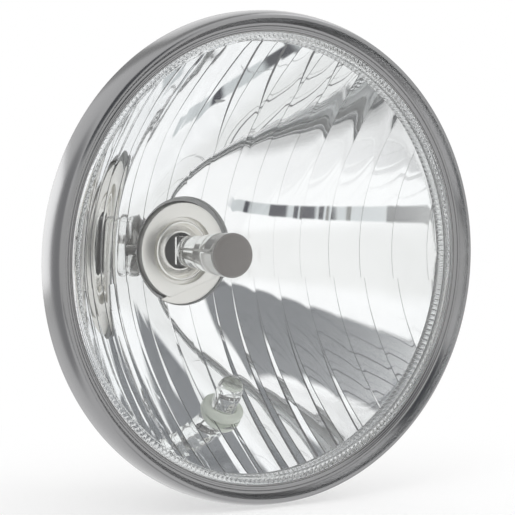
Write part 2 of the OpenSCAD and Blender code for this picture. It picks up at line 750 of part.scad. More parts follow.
// Wedge-base glass: round envelope above the holder and a flat pinch inside it
module park_glass() {
    r = park_glass_r;
    dome = 6.5;
    straight = park_glass_h - dome;
    in = r - park_sheet;
    color("azure", 0.5) park_axis() {
        rotate_extrude($fn = 64) polygon(concat(
            [[0, -park_floor], [r - 0.6, -park_floor], [r, 0]],
            [for (i = [0 : 8]) let (a = i * 90 / 8) [r * cos(a), straight + dome * sin(a)]],
            [for (i = [8 : -1 : 0]) let (a = i * 90 / 8) [in * cos(a), straight + (dome - park_sheet) * sin(a)]],
            [[in, park_floor], [0, park_floor]]
        ));
        translate([-park_wedge_w / 2, -park_wedge_t / 2, -park_floor - park_wedge_h + slip])
            cube([park_wedge_w, park_wedge_t, park_wedge_h]);
    }
}

module park_filament() {
    color("darkgray") park_axis() translate([-2, 0, 8]) rotate([0, 90, 0]) coil(0, 0, 0, 4);
}

module park_leads() {
    r = 0.25;
    color("silver") park_axis() for (side = [-1, 1]) rod([side * 2.25, 0, park_floor], [side * 2.25, 0, 8.6], r);
}

module park_contacts() {
    color("gold") park_axis() for (side = [-1, 1])
        translate([side * 3 - contact_w / 2, -contact_t / 2, -socket_tail - contact_h])
            cube([contact_w, contact_t, 2 * contact_h - slip]);
}

// Cap on the vent spigot, open to the air at its side notches
module vent_cap() {
    r = vent_r;
    color("dimgray") optical() translate([0, vent_y, vent_tail_z]) difference() {
        union() {
            tube(r + 1.4, r + slip / 2, -1, 5);
            translate([0, 0, -2.4]) cylinder(r = r + 1.4, h = 1.4 + eps, $fn = 48);
        }
        for (a = [0, 90]) rotate([0, 0, a]) translate([-1, -r - 2, -1]) cube([2, 2 * r + 4, 0.8]);
    }
}

rim();
rim_seal();
rim_clips();
lens();
lens_glue();
reflector();
bulb_flange();
bulb_sleeve();
bulb_glass();
bulb_tip_coat();
dip_filament();
main_filament();
dip_shield();
bulb_leads();
bulb_base();
bulb_blades();
bulb_wire_clip();
wire_clip_hinge();
wire_clip_catch();
clip_screws();
dust_boot();
park_grommet();
park_socket();
park_glass();
park_filament();
park_leads();
park_contacts();
vent_cap();
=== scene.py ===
"""Round motorcycle headlight insert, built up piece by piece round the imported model."""

import math

import bmesh
import bpy
from mathutils import Matrix, Vector


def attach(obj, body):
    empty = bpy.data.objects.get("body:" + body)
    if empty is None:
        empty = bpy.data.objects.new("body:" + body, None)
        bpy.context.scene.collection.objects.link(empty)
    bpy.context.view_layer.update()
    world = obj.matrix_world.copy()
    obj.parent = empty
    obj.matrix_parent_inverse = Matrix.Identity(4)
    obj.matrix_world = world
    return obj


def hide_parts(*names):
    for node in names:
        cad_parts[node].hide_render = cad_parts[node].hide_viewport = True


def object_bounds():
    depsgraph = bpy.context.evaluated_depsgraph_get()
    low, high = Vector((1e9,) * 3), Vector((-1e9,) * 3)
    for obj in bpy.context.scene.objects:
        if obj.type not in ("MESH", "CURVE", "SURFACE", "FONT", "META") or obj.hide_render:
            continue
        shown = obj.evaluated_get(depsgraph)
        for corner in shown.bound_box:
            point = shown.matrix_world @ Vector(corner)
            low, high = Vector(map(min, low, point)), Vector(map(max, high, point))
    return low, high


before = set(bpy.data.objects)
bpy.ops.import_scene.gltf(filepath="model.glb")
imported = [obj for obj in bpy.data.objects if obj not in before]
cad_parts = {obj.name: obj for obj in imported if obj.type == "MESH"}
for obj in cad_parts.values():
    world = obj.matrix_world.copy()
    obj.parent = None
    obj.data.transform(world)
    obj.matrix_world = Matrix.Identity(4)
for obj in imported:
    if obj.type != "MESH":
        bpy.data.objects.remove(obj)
cad_low, cad_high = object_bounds()

# Studio and camera.
# The lamp stands on a pale floor in a white tent, lit by soft panels, and the camera
# looks at it from its front left, a little above its centre.

scene = bpy.context.scene
scene.view_settings.view_transform = "Standard"
scene.cycles.max_bounces = 24
scene.cycles.glossy_bounces = 12
scene.cycles.transmission_bounces = 20
scene.cycles.caustics_refractive = True
scene.cycles.caustics_reflective = True
scene.cycles.blur_glossy = 0

turned_away = 0.58378
raised = 0.061401
distance = 0.85
aim_left, aim_up = 0.00654, 0.00071
look = Vector((
    math.sin(turned_away) * math.cos(raised),
    math.cos(turned_away) * math.cos(raised),
    -math.sin(raised),
))
sideways = Vector((math.cos(turned_away), -math.sin(turned_away), 0))
upward = sideways.cross(look)
rim_centre = Vector((0, -0.010, 0))
framing = rim_centre - aim_left * sideways + aim_up * upward

camera_data = bpy.data.cameras.new("camera")
camera_data.lens = 160.65
camera_data.sensor_width = 36
camera_data.clip_start = 0.01
camera = bpy.data.objects.new("camera", camera_data)
camera.location = rim_centre - distance * look
camera.rotation_mode = "QUATERNION"
camera.rotation_quaternion = (framing - camera.location).to_track_quat("-Z", "Y")
scene.collection.objects.link(camera)
scene.camera = camera


def feed(tree, value, socket):
    """Sets a socket to a number or a colour, or links it to another socket."""
    if isinstance(value, (int, float, tuple)):
        socket.default_value = value
    else:
        tree.links.new(value, socket)


def maths(tree, operation, *values):
    """A Math node; each value is a number or a socket."""
    node = tree.nodes.new("ShaderNodeMath")
    node.operation = operation
    for socket, value in zip(node.inputs, values):
        feed(tree, value, socket)
    return node.outputs["Value"]


def either(tree, share, one, other):
    """One shader, or the other where the share is 1."""
    mix = tree.nodes.new("ShaderNodeMixShader")
    tree.links.new(share, mix.inputs["Fac"])
    tree.links.new(one, mix.inputs[1])
    tree.links.new(other, mix.inputs[2])
    return mix.outputs["Shader"]


def painted(tree, share, one, other):
    """One colour, or the other where the share is 1."""
    mix = tree.nodes.new("ShaderNodeMix")
    mix.data_type = "RGBA"
    tree.links.new(share, mix.inputs["Factor"])
    feed(tree, one, mix.inputs["A"])
    feed(tree, other, mix.inputs["B"])
    return mix.outputs["Result"]


def past(tree, value, limit, soft, rising):
    """1 on one side of a limit and 0 on the other, with a soft edge."""
    node = tree.nodes.new("ShaderNodeMapRange")
    node.interpolation_type = "SMOOTHSTEP"
    tree.links.new(value, node.inputs["Value"])
    node.inputs["From Min"].default_value = limit - soft
    node.inputs["From Max"].default_value = limit + soft
    node.inputs["To Min"].default_value = 0 if rising else 1
    node.inputs["To Max"].default_value = 1 if rising else 0
    return node.outputs["Result"]


# What stands round the lamp, in degrees as the lamp sees it: the turn from straight ahead
# towards +X, and the height. An edge that slants falls by SLANT for each degree of turn.
TENT = (1.06, 1.06, 1.06)
SOFT_LIGHT = (0.8, 0.8, 0.8)
SLANT = 0.235
TABLE = (-40.3, -33)
TABLE_SOFT = 0.8
THINGS_ON_TABLE = [
    ((-20, -15.5), 1.2, (0.02, 0.02, 0.035)),
    ((-39.5, -32.5), 1.2, (0.02, 0.02, 0.035)),
    ((-51, -45), 1, (0.02, 0.02, 0.035)),
    ((-57.5, -53), 0.8, (0.03, 0.03, 0.04)),
    ((-63, -60.5), 0.6, (0.18, 0.18, 0.17)),
    ((-82, -70.5), 0.6, (0.08, 0.08, 0.08)),
]
# Each: from and to in turn and in height, softness of both, colour, and which edges slant.
SURROUNDINGS = [
    ((-180, 180), (-16, 18), (1, 4), (0.93, 0.93, 0.92), (False, False)),  # round the lamp, level with it
    ((-76, 15), (18.3, 68), (3, 1.5), (0.15, 0.158, 0.17), (True, False)),  # dark space above the camera
    ((-84, -4), TABLE, (2, TABLE_SOFT), (0.62, 0.65, 0.66), (True, True)),  # the table's edge
    *[(turn, TABLE, (soft, TABLE_SOFT), colour, (True, True)) for turn, soft, colour in THINGS_ON_TABLE],
    ((-76, 60), (-90, -64), (4, 4), (0.62, 0.62, 0.62), (False, False)),  # under the table
    ((-142, -97), (-40, 40), (5, 8), (0.5, 0.5, 0.51), (False, False)),  # a card at the left
    ((95, 128), (-50, 30), (5, 8), (0.5, 0.5, 0.51), (False, False)),  # the wall at the right
    ((128, 180), (-12, 70), (5, 6), (0.42, 0.42, 0.42), (False, False)),  # the room behind the lamp
]


def studio_world():
    """White to the eye. Shiny surfaces see the white tent and what stands in it; matt ones an even light."""
    world = bpy.data.worlds.new("tent")
    world.use_nodes = True
    tree = world.node_tree
    tree.nodes.clear()
    split = tree.nodes.new("ShaderNodeSeparateXYZ")
    tree.links.new(tree.nodes.new("ShaderNodeTexCoord").outputs["Generated"], split.inputs["Vector"])
    height = maths(tree, "DEGREES", maths(tree, "ARCSINE", split.outputs["Z"]))
    ahead = maths(tree, "MULTIPLY", split.outputs["Y"], -1)
    turn = maths(tree, "DEGREES", maths(tree, "ARCTAN2", split.outputs["X"], ahead))
    slanted = maths(tree, "MULTIPLY_ADD", turn, SLANT, height)
    colour = (*TENT, 1)
    for turns, heights, soft, paint, slants in SURROUNDINGS:
        inside = past(tree, turn, turns[0], soft[0], True)
        for edge in (
            past(tree, turn, turns[1], soft[0], False),
            past(tree, slanted if slants[0] else height, heights[0], soft[1], True),
            past(tree, slanted if slants[1] else height, heights[1], soft[1], False),
        ):
            inside = maths(tree, "MULTIPLY", inside, edge)
        colour = painted(tree, inside, colour, (*paint, 1))

    def glow(shade):
        node = tree.nodes.new("ShaderNodeBackground")
        feed(tree, shade, node.inputs["Color"])
        return node.outputs["Background"]

    path = tree.nodes.new("ShaderNodeLightPath")
    lit = either(tree, path.outputs["Is Diffuse Ray"], glow(colour), glow((*SOFT_LIGHT, 1)))
    shown = either(tree, path.outputs["Is Camera Ray"], lit, glow((1, 1, 1, 1)))
    tree.links.new(shown, tree.nodes.new("ShaderNodeOutputWorld").inputs["Surface"])
    return world


scene.world = studio_world()

BARE_FLOOR, WHITE_FLOOR, NEAR_WHITE = 0.06, 0.24, 0.5


def floor_paper():
    """White paper: bare near the lamp, where it takes the shadow, and plain white further out.

    Shiny and clear surfaces look through it at the tent.
    """
    paper = bpy.data.materials.new("floor_paper")
    paper.use_nodes = True
    tree = paper.node_tree
    shader = tree.nodes["Principled BSDF"]
    shader.inputs["Base Color"].default_value = (0.98, 0.98, 0.98, 1)
    shader.inputs["Roughness"].default_value = 1
    shader.inputs["Specular IOR Level"].default_value = 0
    reach = tree.nodes.new("ShaderNodeVectorMath")
    reach.operation = "LENGTH"
    tree.links.new(tree.nodes.new("ShaderNodeTexCoord").outputs["Object"], reach.inputs[0])
    fade = tree.nodes.new("ShaderNodeMapRange")
    fade.interpolation_type = "SMOOTHSTEP"
    fade.inputs["From Min"].default_value = BARE_FLOOR
    fade.inputs["From Max"].default_value = WHITE_FLOOR
    fade.inputs["To Min"].default_value = NEAR_WHITE
    tree.links.new(reach.outputs["Value"], fade.inputs["Value"])
    path = tree.nodes.new("ShaderNodeLightPath").outputs
    whiteness = maths(tree, "MULTIPLY", path["Is Camera Ray"], fade.outputs["Result"])
    white = tree.nodes.new("ShaderNodeEmission").outputs["Emission"]
    sheet = either(tree, whiteness, shader.outputs["BSDF"], white)
    shiny = maths(tree, "MAXIMUM", path["Is Glossy Ray"], path["Is Transmission Ray"])
    clear = tree.nodes.new("ShaderNodeBsdfTransparent").outputs["BSDF"]
    tree.links.new(either(tree, shiny, sheet, clear), tree.nodes["Material Output"].inputs["Surface"])
    return paper


FLOOR_GAP, FLOOR_HALF = 0.0004, 6
floor_mesh = bpy.data.meshes.new("floor")
floor_corners = [(x * FLOOR_HALF, y * FLOOR_HALF, 0) for x, y in ((-1, -1), (1, -1), (1, 1), (-1, 1))]
floor_mesh.from_pydata(floor_corners, [], [(0, 1, 2, 3)])
floor = bpy.data.objects.new("floor", floor_mesh)
floor.location = (0, 0, cad_low.z - FLOOR_GAP)
scene.collection.objects.link(floor)
floor_mesh.materials.append(floor_paper())


def soft_panel(name, place, width, power, shines):
    """A square light aimed at the lamp; only the ones behind it show in the rim."""
    light = bpy.data.lights.new(name, "AREA")
    light.size = width
    light.energy = power
    panel = bpy.data.objects.new(name, light)
    panel.location = place
    panel.rotation_mode = "QUATERNION"
    panel.rotation_quaternion = (-Vector(place)).to_track_quat("-Z", "Y")
    panel.visible_glossy = shines
    panel.visible_transmission = False
    scene.collection.objects.link(panel)


soft_panel("panel_left", (-1.1, -0.9, 1.1), 0.9, 5, False)
soft_panel("panel_right", (1.2, -0.7, 0.8), 0.7, 3, False)
soft_panel("panel_behind_left", (-0.9, 1.9, 0.2), 1.1, 5.4, True)
soft_panel("panel_behind_right", (0.9, 1.2, 0.9), 1.2, 3.2, True)
soft_panel("panel_above", (1.0, 0.1, 1.3), 0.6, 1.2, True)

# Rim.
# A ring rolled and folded from thin steel sheet and plated satin: a plain skirt with a hem
# at the back, a rolled front edge, a groove, and a lip that reaches in over the lens.

# From the lamp's own millimetres, with z forwards, to the frame's metres.
OPTICAL = Matrix.Rotation(math.radians(90), 4, "X") @ Matrix.Scale(0.001, 4)


def arc(cx, cy, radius, start, end, steps):
    """Points of a round stretch about (cx, cy), in millimetres and degrees."""
    turns = [math.radians(start + (end - start) * i / steps) for i in range(steps + 1)]
    return [(cx + radius * math.cos(a), cy + radius * math.sin(a)) for a in turns]


def rounded(before, corner, after, radius, steps):
    """Points of a soft bend that takes a corner's place."""
    back, ahead = before - corner, after - corner
    start = corner + back.normalized() * min(radius, 0.45 * back.length)
    end = corner + ahead.normalized() * min(radius, 0.45 * ahead.length)
    shares = [k / steps for k in range(steps + 1)]
    return [(1 - t) ** 2 * start + 2 * t * (1 - t) * corner + t * t * end for t in shares]


NOTHING, NEARLY_STRAIGHT = 1e-6, math.radians(150)


def eased(outline, radius, steps=3):
    """A closed outline whose sharp corners are rounded off, but not those on the axis."""
    points = []
    for i, corner in enumerate(outline):
        neighbours = outline[i - 1], outline[(i + 1) % len(outline)]
        before, corner, after = Vector(neighbours[0]), Vector(corner), Vector(neighbours[1])
        back, ahead = before - corner, after - corner
        shortest = min(corner.x, back.length, ahead.length)
        if shortest < NOTHING or back.angle(ahead) > NEARLY_STRAIGHT:
            points.append(tuple(corner))
        else:
            points += [tuple(p) for p in rounded(before, corner, after, radius, steps)]
    return points


MERGE, SHORTEST = 2e-7, 1e-7


def piece(name, points, faces, replaced, slot, materials, crease=35, edges=None):
    """A finished mesh object: closed up, smooth but for its sharp edges, and riding on the lamp.

    Edges names the sharp ones of a mesh that is closed already, as pairs of point numbers.
    """
    mesh = bpy.data.meshes.new(name)
    mesh.from_pydata([tuple(p) for p in points], [], faces)
    sheet = bmesh.new()
    sheet.from_mesh(mesh)
    if edges is None:
        bmesh.ops.remove_doubles(sheet, verts=sheet.verts, dist=MERGE)
        bmesh.ops.dissolve_degenerate(sheet, edges=sheet.edges, dist=SHORTEST)
    bmesh.ops.recalc_face_normals(sheet, faces=sheet.faces)
    sheet.to_mesh(mesh)
    sheet.free()
    mesh.polygons.foreach_set("use_smooth", [True] * len(mesh.polygons))
    mesh.set_sharp_from_angle(angle=math.radians(crease))
    for edge in mesh.edges if edges else ():
        edge.use_edge_sharp |= tuple(sorted(edge.vertices)) in edges
    for material in materials:
        mesh.materials.append(material)
    made = bpy.data.objects.new(name, mesh)
    scene.collection.objects.link(made)
    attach(made, "root")
    if replaced:
        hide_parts(*replaced)
    return made


def spun(outline, axis=OPTICAL, steps=256):
    """Points and faces of a closed outline of (radius, height), turned once round an axis.

    The outline is a list of points, or a function that gives one for each angle.
    """
    points, faces = [], []
    for i in range(steps):
        a = 2 * math.pi * i / steps
        section = outline(a) if callable(outline) else outline
        points += [axis @ Vector((r * math.cos(a), r * math.sin(a), z)) for r, z in section]
    count = len(section)
    for i in range(steps):
        here, there = i * count, (i + 1) % steps * count
        for j in range(count):
            k = (j + 1) % count
            faces.append((here + j, here + k, there + k, there + j))
    return points, faces


def effect(name, inputs, outputs):
    """An empty shader node group with named inputs and outputs."""
    group = bpy.data.node_groups.new(name, "ShaderNodeTree")
    for label, kind, value in inputs:
        socket = group.interface.new_socket(label, in_out="INPUT", socket_type=kind)
        socket.default_value = value
    for label, kind in outputs:
        group.interface.new_socket(label, in_out="OUTPUT", socket_type=kind)
    return group, group.nodes.new("NodeGroupInput").outputs, group.nodes.new("NodeGroupOutput").inputs


def noise(tree, where, scale, detail=2.0):
    """Soft random blotches between 0 and 1."""
    node = tree.nodes.new("ShaderNodeTexNoise")
    node.inputs["Detail"].default_value = detail
    tree.links.new(where, node.inputs["Vector"])
    feed(tree, scale, node.inputs["Scale"])
    return node.outputs["Fac"]


def shaded(tree, colour, factor, low, high):
    """The colour times a factor that runs from low to high."""
    node = tree.nodes.new("ShaderNodeVectorMath")
    node.operation = "SCALE"
    tree.links.new(colour, node.inputs[0])
    tree.links.new(maths(tree, "ADD", maths(tree, "MULTIPLY", factor, high - low), low), node.inputs["Scale"])
    return node.outputs["Vector"]


def bump(tree, height, distance):
    """A normal that follows small heights, in metres."""
    node = tree.nodes.new("ShaderNodeBump")
    node.inputs["Strength"].default_value = 1
    tree.links.new(height, node.inputs["Height"])
    feed(tree, distance, node.inputs["Distance"])
    return node.outputs["Normal"]


LINE_PITCH, LINE_BREAKS = 4000, 6


def worked_metal():
    """Metal as it leaves its tools: lines round the lamp's axis, faint smudges, soft waves."""
    group, given, made = effect(
        "worked_metal",
        [("Colour", "NodeSocketColor", (0.7, 0.7, 0.7, 1)), ("Roughness", "NodeSocketFloat", 0.2),
         ("Smudges", "NodeSocketFloat", 0.05), ("Line depth", "NodeSocketFloat", 1e-6)],
        [("Colour", "NodeSocketColor"), ("Roughness", "NodeSocketFloat"), ("Normal", "NodeSocketVector")],
    )
    where = group.nodes.new("ShaderNodeTexCoord").outputs["Object"]
    split = group.nodes.new("ShaderNodeSeparateXYZ")
    group.links.new(where, split.inputs["Vector"])
    across = maths(group, "POWER", split.outputs["X"], 2)
    up = maths(group, "POWER", split.outputs["Z"], 2)
    radius = maths(group, "SQRT", maths(group, "ADD", across, up))
    angle = maths(group, "ARCTAN2", split.outputs["Z"], split.outputs["X"])
    round_lines = group.nodes.new("ShaderNodeCombineXYZ")
    group.links.new(maths(group, "MULTIPLY", radius, LINE_PITCH), round_lines.inputs["X"])
    group.links.new(maths(group, "MULTIPLY", split.outputs["Y"], LINE_PITCH), round_lines.inputs["Y"])
    group.links.new(maths(group, "MULTIPLY", angle, LINE_BREAKS), round_lines.inputs["Z"])
    lines = noise(group, round_lines.outputs["Vector"], 1, 3)
    smudge = noise(group, where, 38, 4)
    group.links.new(shaded(group, given["Colour"], smudge, 0.95, 1.05), made["Colour"])
    rougher = maths(group, "MULTIPLY", smudge, given["Smudges"])
    uneven = maths(group, "MULTIPLY", lines, maths(group, "MULTIPLY", given["Smudges"], 0.6))
    group.links.new(
        maths(group, "ADD", given["Roughness"], maths(group, "ADD", rougher, uneven)), made["Roughness"]
    )
    group.links.new(bump(group, lines, given["Line depth"]), made["Normal"])
    return group


worked_metal_group = worked_metal()


def material_of(name, group, values, metallic=0.0):
    """A material whose colour, roughness and normal come from an effect group."""
    material = bpy.data.materials.new(name)
    material.use_nodes = True
    tree = material.node_tree
    shader = tree.nodes["Principled BSDF"]
    shader.inputs["Metallic"].default_value = metallic
    skin = tree.nodes.new("ShaderNodeGroup")
    skin.node_tree = group
    for label, value in values.items():
        skin.inputs[label].default_value = value
    tree.links.new(skin.outputs["Colour"], shader.inputs["Base Color"])
    tree.links.new(skin.outputs["Roughness"], shader.inputs["Roughness"])
    tree.links.new(skin.outputs["Normal"], shader.inputs["Normal"])
    return material


def metal(name, colour, roughness, smudges=0.06, line_depth=1e-6):
    """Worked metal; a coat or a plating has a line depth of 0."""
    return material_of(
        name, worked_metal_group,
        {"Colour": (*colour, 1), "Roughness": roughness, "Smudges": smudges, "Line depth": line_depth},
        metallic=1.0,
    )


RIM_OUT, SHEET, HEM_W, SKIRT_H, CROWN_R, CROWN_Z = 92.0, 0.7, 2.4, 3.6, 88.9, 12.4
GROOVE_R, GROOVE_Z, BEAD_R, BEAD_Z, BEAD, LIP_R, LIP_Z = 86.9, 8.8, 85.7, 9.1, 0.6, 84.4, 8.65
SHEET_MIDDLE_R, SHEET_MIDDLE_Z = 88.6, 4.5


def rim_face(inset):
    """The rim's front: a long curve to the crown, a short hollow one to the groove, and a bead."""
    turns = [math.radians(90 * i / 22) for i in range(22)]
    outside = [(CROWN_R + (RIM_OUT - CROWN_R - inset) * math.cos(t) ** 0.75,
                SKIRT_H + (CROWN_Z - SKIRT_H - inset) * math.sin(t)) for t in turns]
    width, fall = CROWN_R - GROOVE_R - 0.2 - 0.6 * inset, CROWN_Z - GROOVE_Z - 0.2
    inside = [(CROWN_R - width * i / 8, CROWN_Z - inset - fall * (i / 8) ** 0.65) for i in range(9)]
    groove = [(GROOVE_R + 0.2 + 0.2 * inset, GROOVE_Z + 0.1 - inset), (GROOVE_R - 0.2, GROOVE_Z - inset)]
    bead = [(BEAD_R, BEAD_Z - inset)] if inset else arc(BEAD_R, BEAD_Z - BEAD, BEAD, 20, 150, 8)
    return outside + inside + groove + bead


rim_outline = eased([
    (RIM_OUT - HEM_W, 0), (RIM_OUT, 0), *rim_face(0),
    (LIP_R + 0.2, LIP_Z), (LIP_R, LIP_Z - 0.3), (LIP_R + 0.2, LIP_Z - SHEET),
    *rim_face(SHEET)[::-1], (RIM_OUT - SHEET, SHEET), (RIM_OUT - HEM_W, SHEET),
], 0.25, 4)
rim_metal = metal("rim_metal", (0.32, 0.32, 0.325), 0.16, 0.08, 6e-7)
# A much brighter copy of the rim metal for the back of the sheet: painted light.
rim_back_painted_bright = metal("rim_back_painted_bright", (0.86, 0.865, 0.87), 0.25, 0.1, 2e-6)
rim = piece("rim_ring", *spun(rim_outline, steps=400), ["rim"], "rim_metal", [rim_metal, rim_back_painted_bright])

# The side of the sheet that looks at the middle of its own fold takes a much brighter copy of the rim metal:
# painted light, not a finish of its own.
to_lamp = OPTICAL.inverted()
for face in rim.data.polygons:
    middle, normal = to_lamp @ face.center, to_lamp.to_3x3() @ face.normal
    radius = math.hypot(middle.x, middle.y)
    outwards = (middle.x * normal.x + middle.y * normal.y) / radius
    if outwards * (SHEET_MIDDLE_R - radius) + normal.z * (SHEET_MIDDLE_Z - middle.z) > 0:
        face.material_index = 1

# Rim seal.
# An extruded rubber ring, laid dry between the rim's lip and the lens. Its thin inner edge
# stands up beside the lens, level with the lip.


DUST_GREY = (0.45, 0.44, 0.42)


def moulded_skin():
    """Moulded rubber or plastic: fine grain, uneven shade and a little settled dust."""
    group, given, made = effect(
        "moulded_skin",
        [("Colour", "NodeSocketColor", (0.1, 0.1, 0.1, 1)), ("Roughness", "NodeSocketFloat", 0.5),
         ("Grain", "NodeSocketFloat", 3000), ("Grain depth", "NodeSocketFloat", 2e-5),
         ("Dust", "NodeSocketFloat", 0.1)],
        [("Colour", "NodeSocketColor"), ("Roughness", "NodeSocketFloat"), ("Normal", "NodeSocketVector")],
    )
    where = group.nodes.new("ShaderNodeTexCoord").outputs["Object"]
    grain = noise(group, where, given["Grain"], 3)
    shade = noise(group, where, 60, 3)
    specks = maths(group, "GREATER_THAN", noise(group, where, 900, 2), 0.68)
    settled = maths(group, "ADD", specks, maths(group, "POWER", shade, 3))
    dust = maths(group, "MULTIPLY", settled, given["Dust"])
    base = shaded(group, given["Colour"], shade, 0.85, 1.15)
    group.links.new(painted(group, dust, base, (*DUST_GREY, 1)), made["Colour"])
    dull = maths(group, "MULTIPLY", grain, 0.15)
    rougher = maths(group, "ADD", dull, dust)
    group.links.new(maths(group, "ADD", given["Roughness"], rougher), made["Roughness"])
    group.links.new(bump(group, grain, given["Grain depth"]), made["Normal"])
    return group


moulded_skin_group = moulded_skin()


def moulding(name, colour, roughness, grain=3000, depth=2e-5, dust=0.1):
    """Moulded rubber, plastic or sealant."""
    return material_of(
        name, moulded_skin_group,
        {"Colour": (*colour, 1), "Roughness": roughness, "Grain": grain, "Grain depth": depth, "Dust": dust},
    )


seal_outline = eased([(84.04, 5.45), (87.2, 5.45), (87.2, 7.0), (84.7, 7.6), (84.36, 8.5), (84.06, 8.5)], 0.1)
seal_rubber = moulding("seal_rubber", (0.42, 0.42, 0.42), 0.5)
piece("rim_seal_ring", *spun(seal_outline), ["rim_seal"], "seal_rubber", [seal_rubber])

# Lens.
# One clear moulding: a shallow dome with a rounded shoulder, a flange under the rim's lip,
# and a skirt whose inside has fine upright ribs all round and whose end is cut slanting.

LENS_R, RIB_ROOT, RIB_CREST, SKIRT_TAIL, TAIL_TOP = 84.0, 81.7, 81.1, -0.6, 2.8
FLANGE_OUT, FLANGE_LOW, LEDGE_Z, SHOULDER, SHOULDER_Z = 87.6, 3.4, 5.4, 2.0, 7.6
DOME_R, DOME_Z, APEX_Z, WALL = 82.0, 9.6, 18.6, 2.3
RIBS, COARSE, FINE = 250, 500, 1500


def lens_profile():
    """The lens's section, from the foot of the skirt over the dome and back down to the ribs."""
    rise = APEX_Z - DOME_Z
    ball = (DOME_R ** 2 + rise ** 2) / (2 * rise)
    ball_z = APEX_Z - ball
    edge = math.degrees(math.asin(DOME_R / ball))
    inner_edge = math.degrees(math.asin((RIB_CREST - 0.2) / (ball - WALL)))
    outer = eased([
        (LENS_R, TAIL_TOP), (LENS_R, FLANGE_LOW), (FLANGE_OUT, FLANGE_LOW), (FLANGE_OUT, LEDGE_Z),
        (LENS_R, LEDGE_Z), (LENS_R, SHOULDER_Z), *arc(DOME_R, SHOULDER_Z, SHOULDER, 5, 85, 9),
        *arc(0, ball_z, ball, 90 - edge, 90, 26)[:-1], (0, APEX_Z),
    ], 0.25)
    inner = [(0, APEX_Z - WALL)] + arc(0, ball_z, ball - WALL, 90, 90 - inner_edge, 26)[1:]
    inner += [(RIB_CREST - 0.2, LEDGE_Z + 0.3), (RIB_CREST - 0.2, LEDGE_Z)]
    return [(LENS_R, TAIL_TOP)] + [p for p in outer if p[1] > TAIL_TOP + 0.3] + inner


def lens_mesh():
    points, faces = [], []

    def ring(radius, z, steps):
        start = len(points)
        for i in range(steps):
            a = 2 * math.pi * i / steps
            r = radius(a) if callable(radius) else radius
            points.append(OPTICAL @ Vector((r * math.cos(a), r * math.sin(a), z)))
        return start

    def band(low, high, steps):
        for i in range(steps):
            k = (i + 1) % steps
            faces.append((low + i, low + k, high + k, high + i))

    def fan(coarse, fine):
        """Joins a coarse ring to a fine one."""
        share = FINE // COARSE
        for i in range(COARSE):
            k = (i + 1) % COARSE
            s = [fine + (i * share + j) % FINE for j in range(share + 1)]
            faces.extend([
                (coarse + i, s[0], s[1]), (coarse + i, s[1], coarse + k),
                (coarse + k, s[1], s[2]), (coarse + k, s[2], s[3]),
            ])

    rings = [ring(r, z, COARSE) for r, z in lens_profile()]
    for low, high in zip(rings, rings[1:]):
        band(low, high, COARSE)

    def ribbed(a):
        middle, half = (RIB_ROOT + RIB_CREST) / 2, (RIB_ROOT - RIB_CREST) / 2
        return middle - half * math.cos(RIBS * a)

    ribs = [ring(ribbed, z, FINE) for z in (LEDGE_Z, 3.4, 1.4, SKIRT_TAIL)]
    for high, low in zip(ribs, ribs[1:]):
        band(low, high, FINE)
    fan(rings[-1], ribs[0])
    fan(rings[0], ribs[-1])
    return points, faces


WAVES, WAVE_DEPTH = 70, 1.2e-5


def clear_material(name, tint, index):
    """Clear glass or plastic, with a faint waviness from the mould."""
    material = bpy.data.materials.new(name)
    material.use_nodes = True
    tree = material.node_tree
    shader = tree.nodes["Principled BSDF"]
    shader.inputs["Base Color"].default_value = (*tint, 1)
    shader.inputs["Roughness"].default_value = 0.0
    shader.inputs["IOR"].default_value = index
    shader.inputs["Transmission Weight"].default_value = 1.0
    where = tree.nodes.new("ShaderNodeTexCoord").outputs["Object"]
    tree.links.new(bump(tree, noise(tree, where, WAVES, 1), WAVE_DEPTH), shader.inputs["Normal"])
    return material


lens_clear = clear_material("lens_clear", (0.985, 0.99, 0.99), 1.49)
piece("lens_moulding", *lens_mesh(), ["lens"], "lens_clear", [lens_clear], 50)

# Glue line.
# Pale sealant between the outside of the lens skirt and the wall of the trough.

glue_outline = eased([(84.04, 2.75), (84.36, 2.6), (84.36, 3.28), (84.04, 3.28)], 0.08)
glue = moulding("glue", (0.85, 0.86, 0.86), 0.35, 1500, 1e-5, 0.0)
piece("glue_bead", *spun(glue_outline), ["lens_glue"], "glue", [glue])

# Reflector.
# One moulded bowl. Its inside is metallised and cut into upright stripes, each part of its
# own paraboloid, with sloping steps between them; the outside is bare grey plastic.

MIRROR_R, NECK_R, SPLIT_Y, VERTEX_Z = 81.0, 21.5, -11.0, -59.557
UPPER_EDGES = [8.1, 18.8, 28.1, 36.8, 45.3, 53.8, 62.3, 70.6, 78.9]
LOWER_RIGHT = [2.5, 13.6, 21.3, 29.7, 38.1, 46.6, 55.1, 63.5, 71.9]
LOWER_LEFT = [8.1, 18.8, 27.6, 36.0, 44.4, 52.8, 61.2, 69.6, 78.0]
LEVEL_Y, MIDDLE_F, F_STEP, LOWER_GAIN = 35.0, 28.4, 0.3, 0.5
SHELL, STRIPE_PITCH = 2.15, 1.1

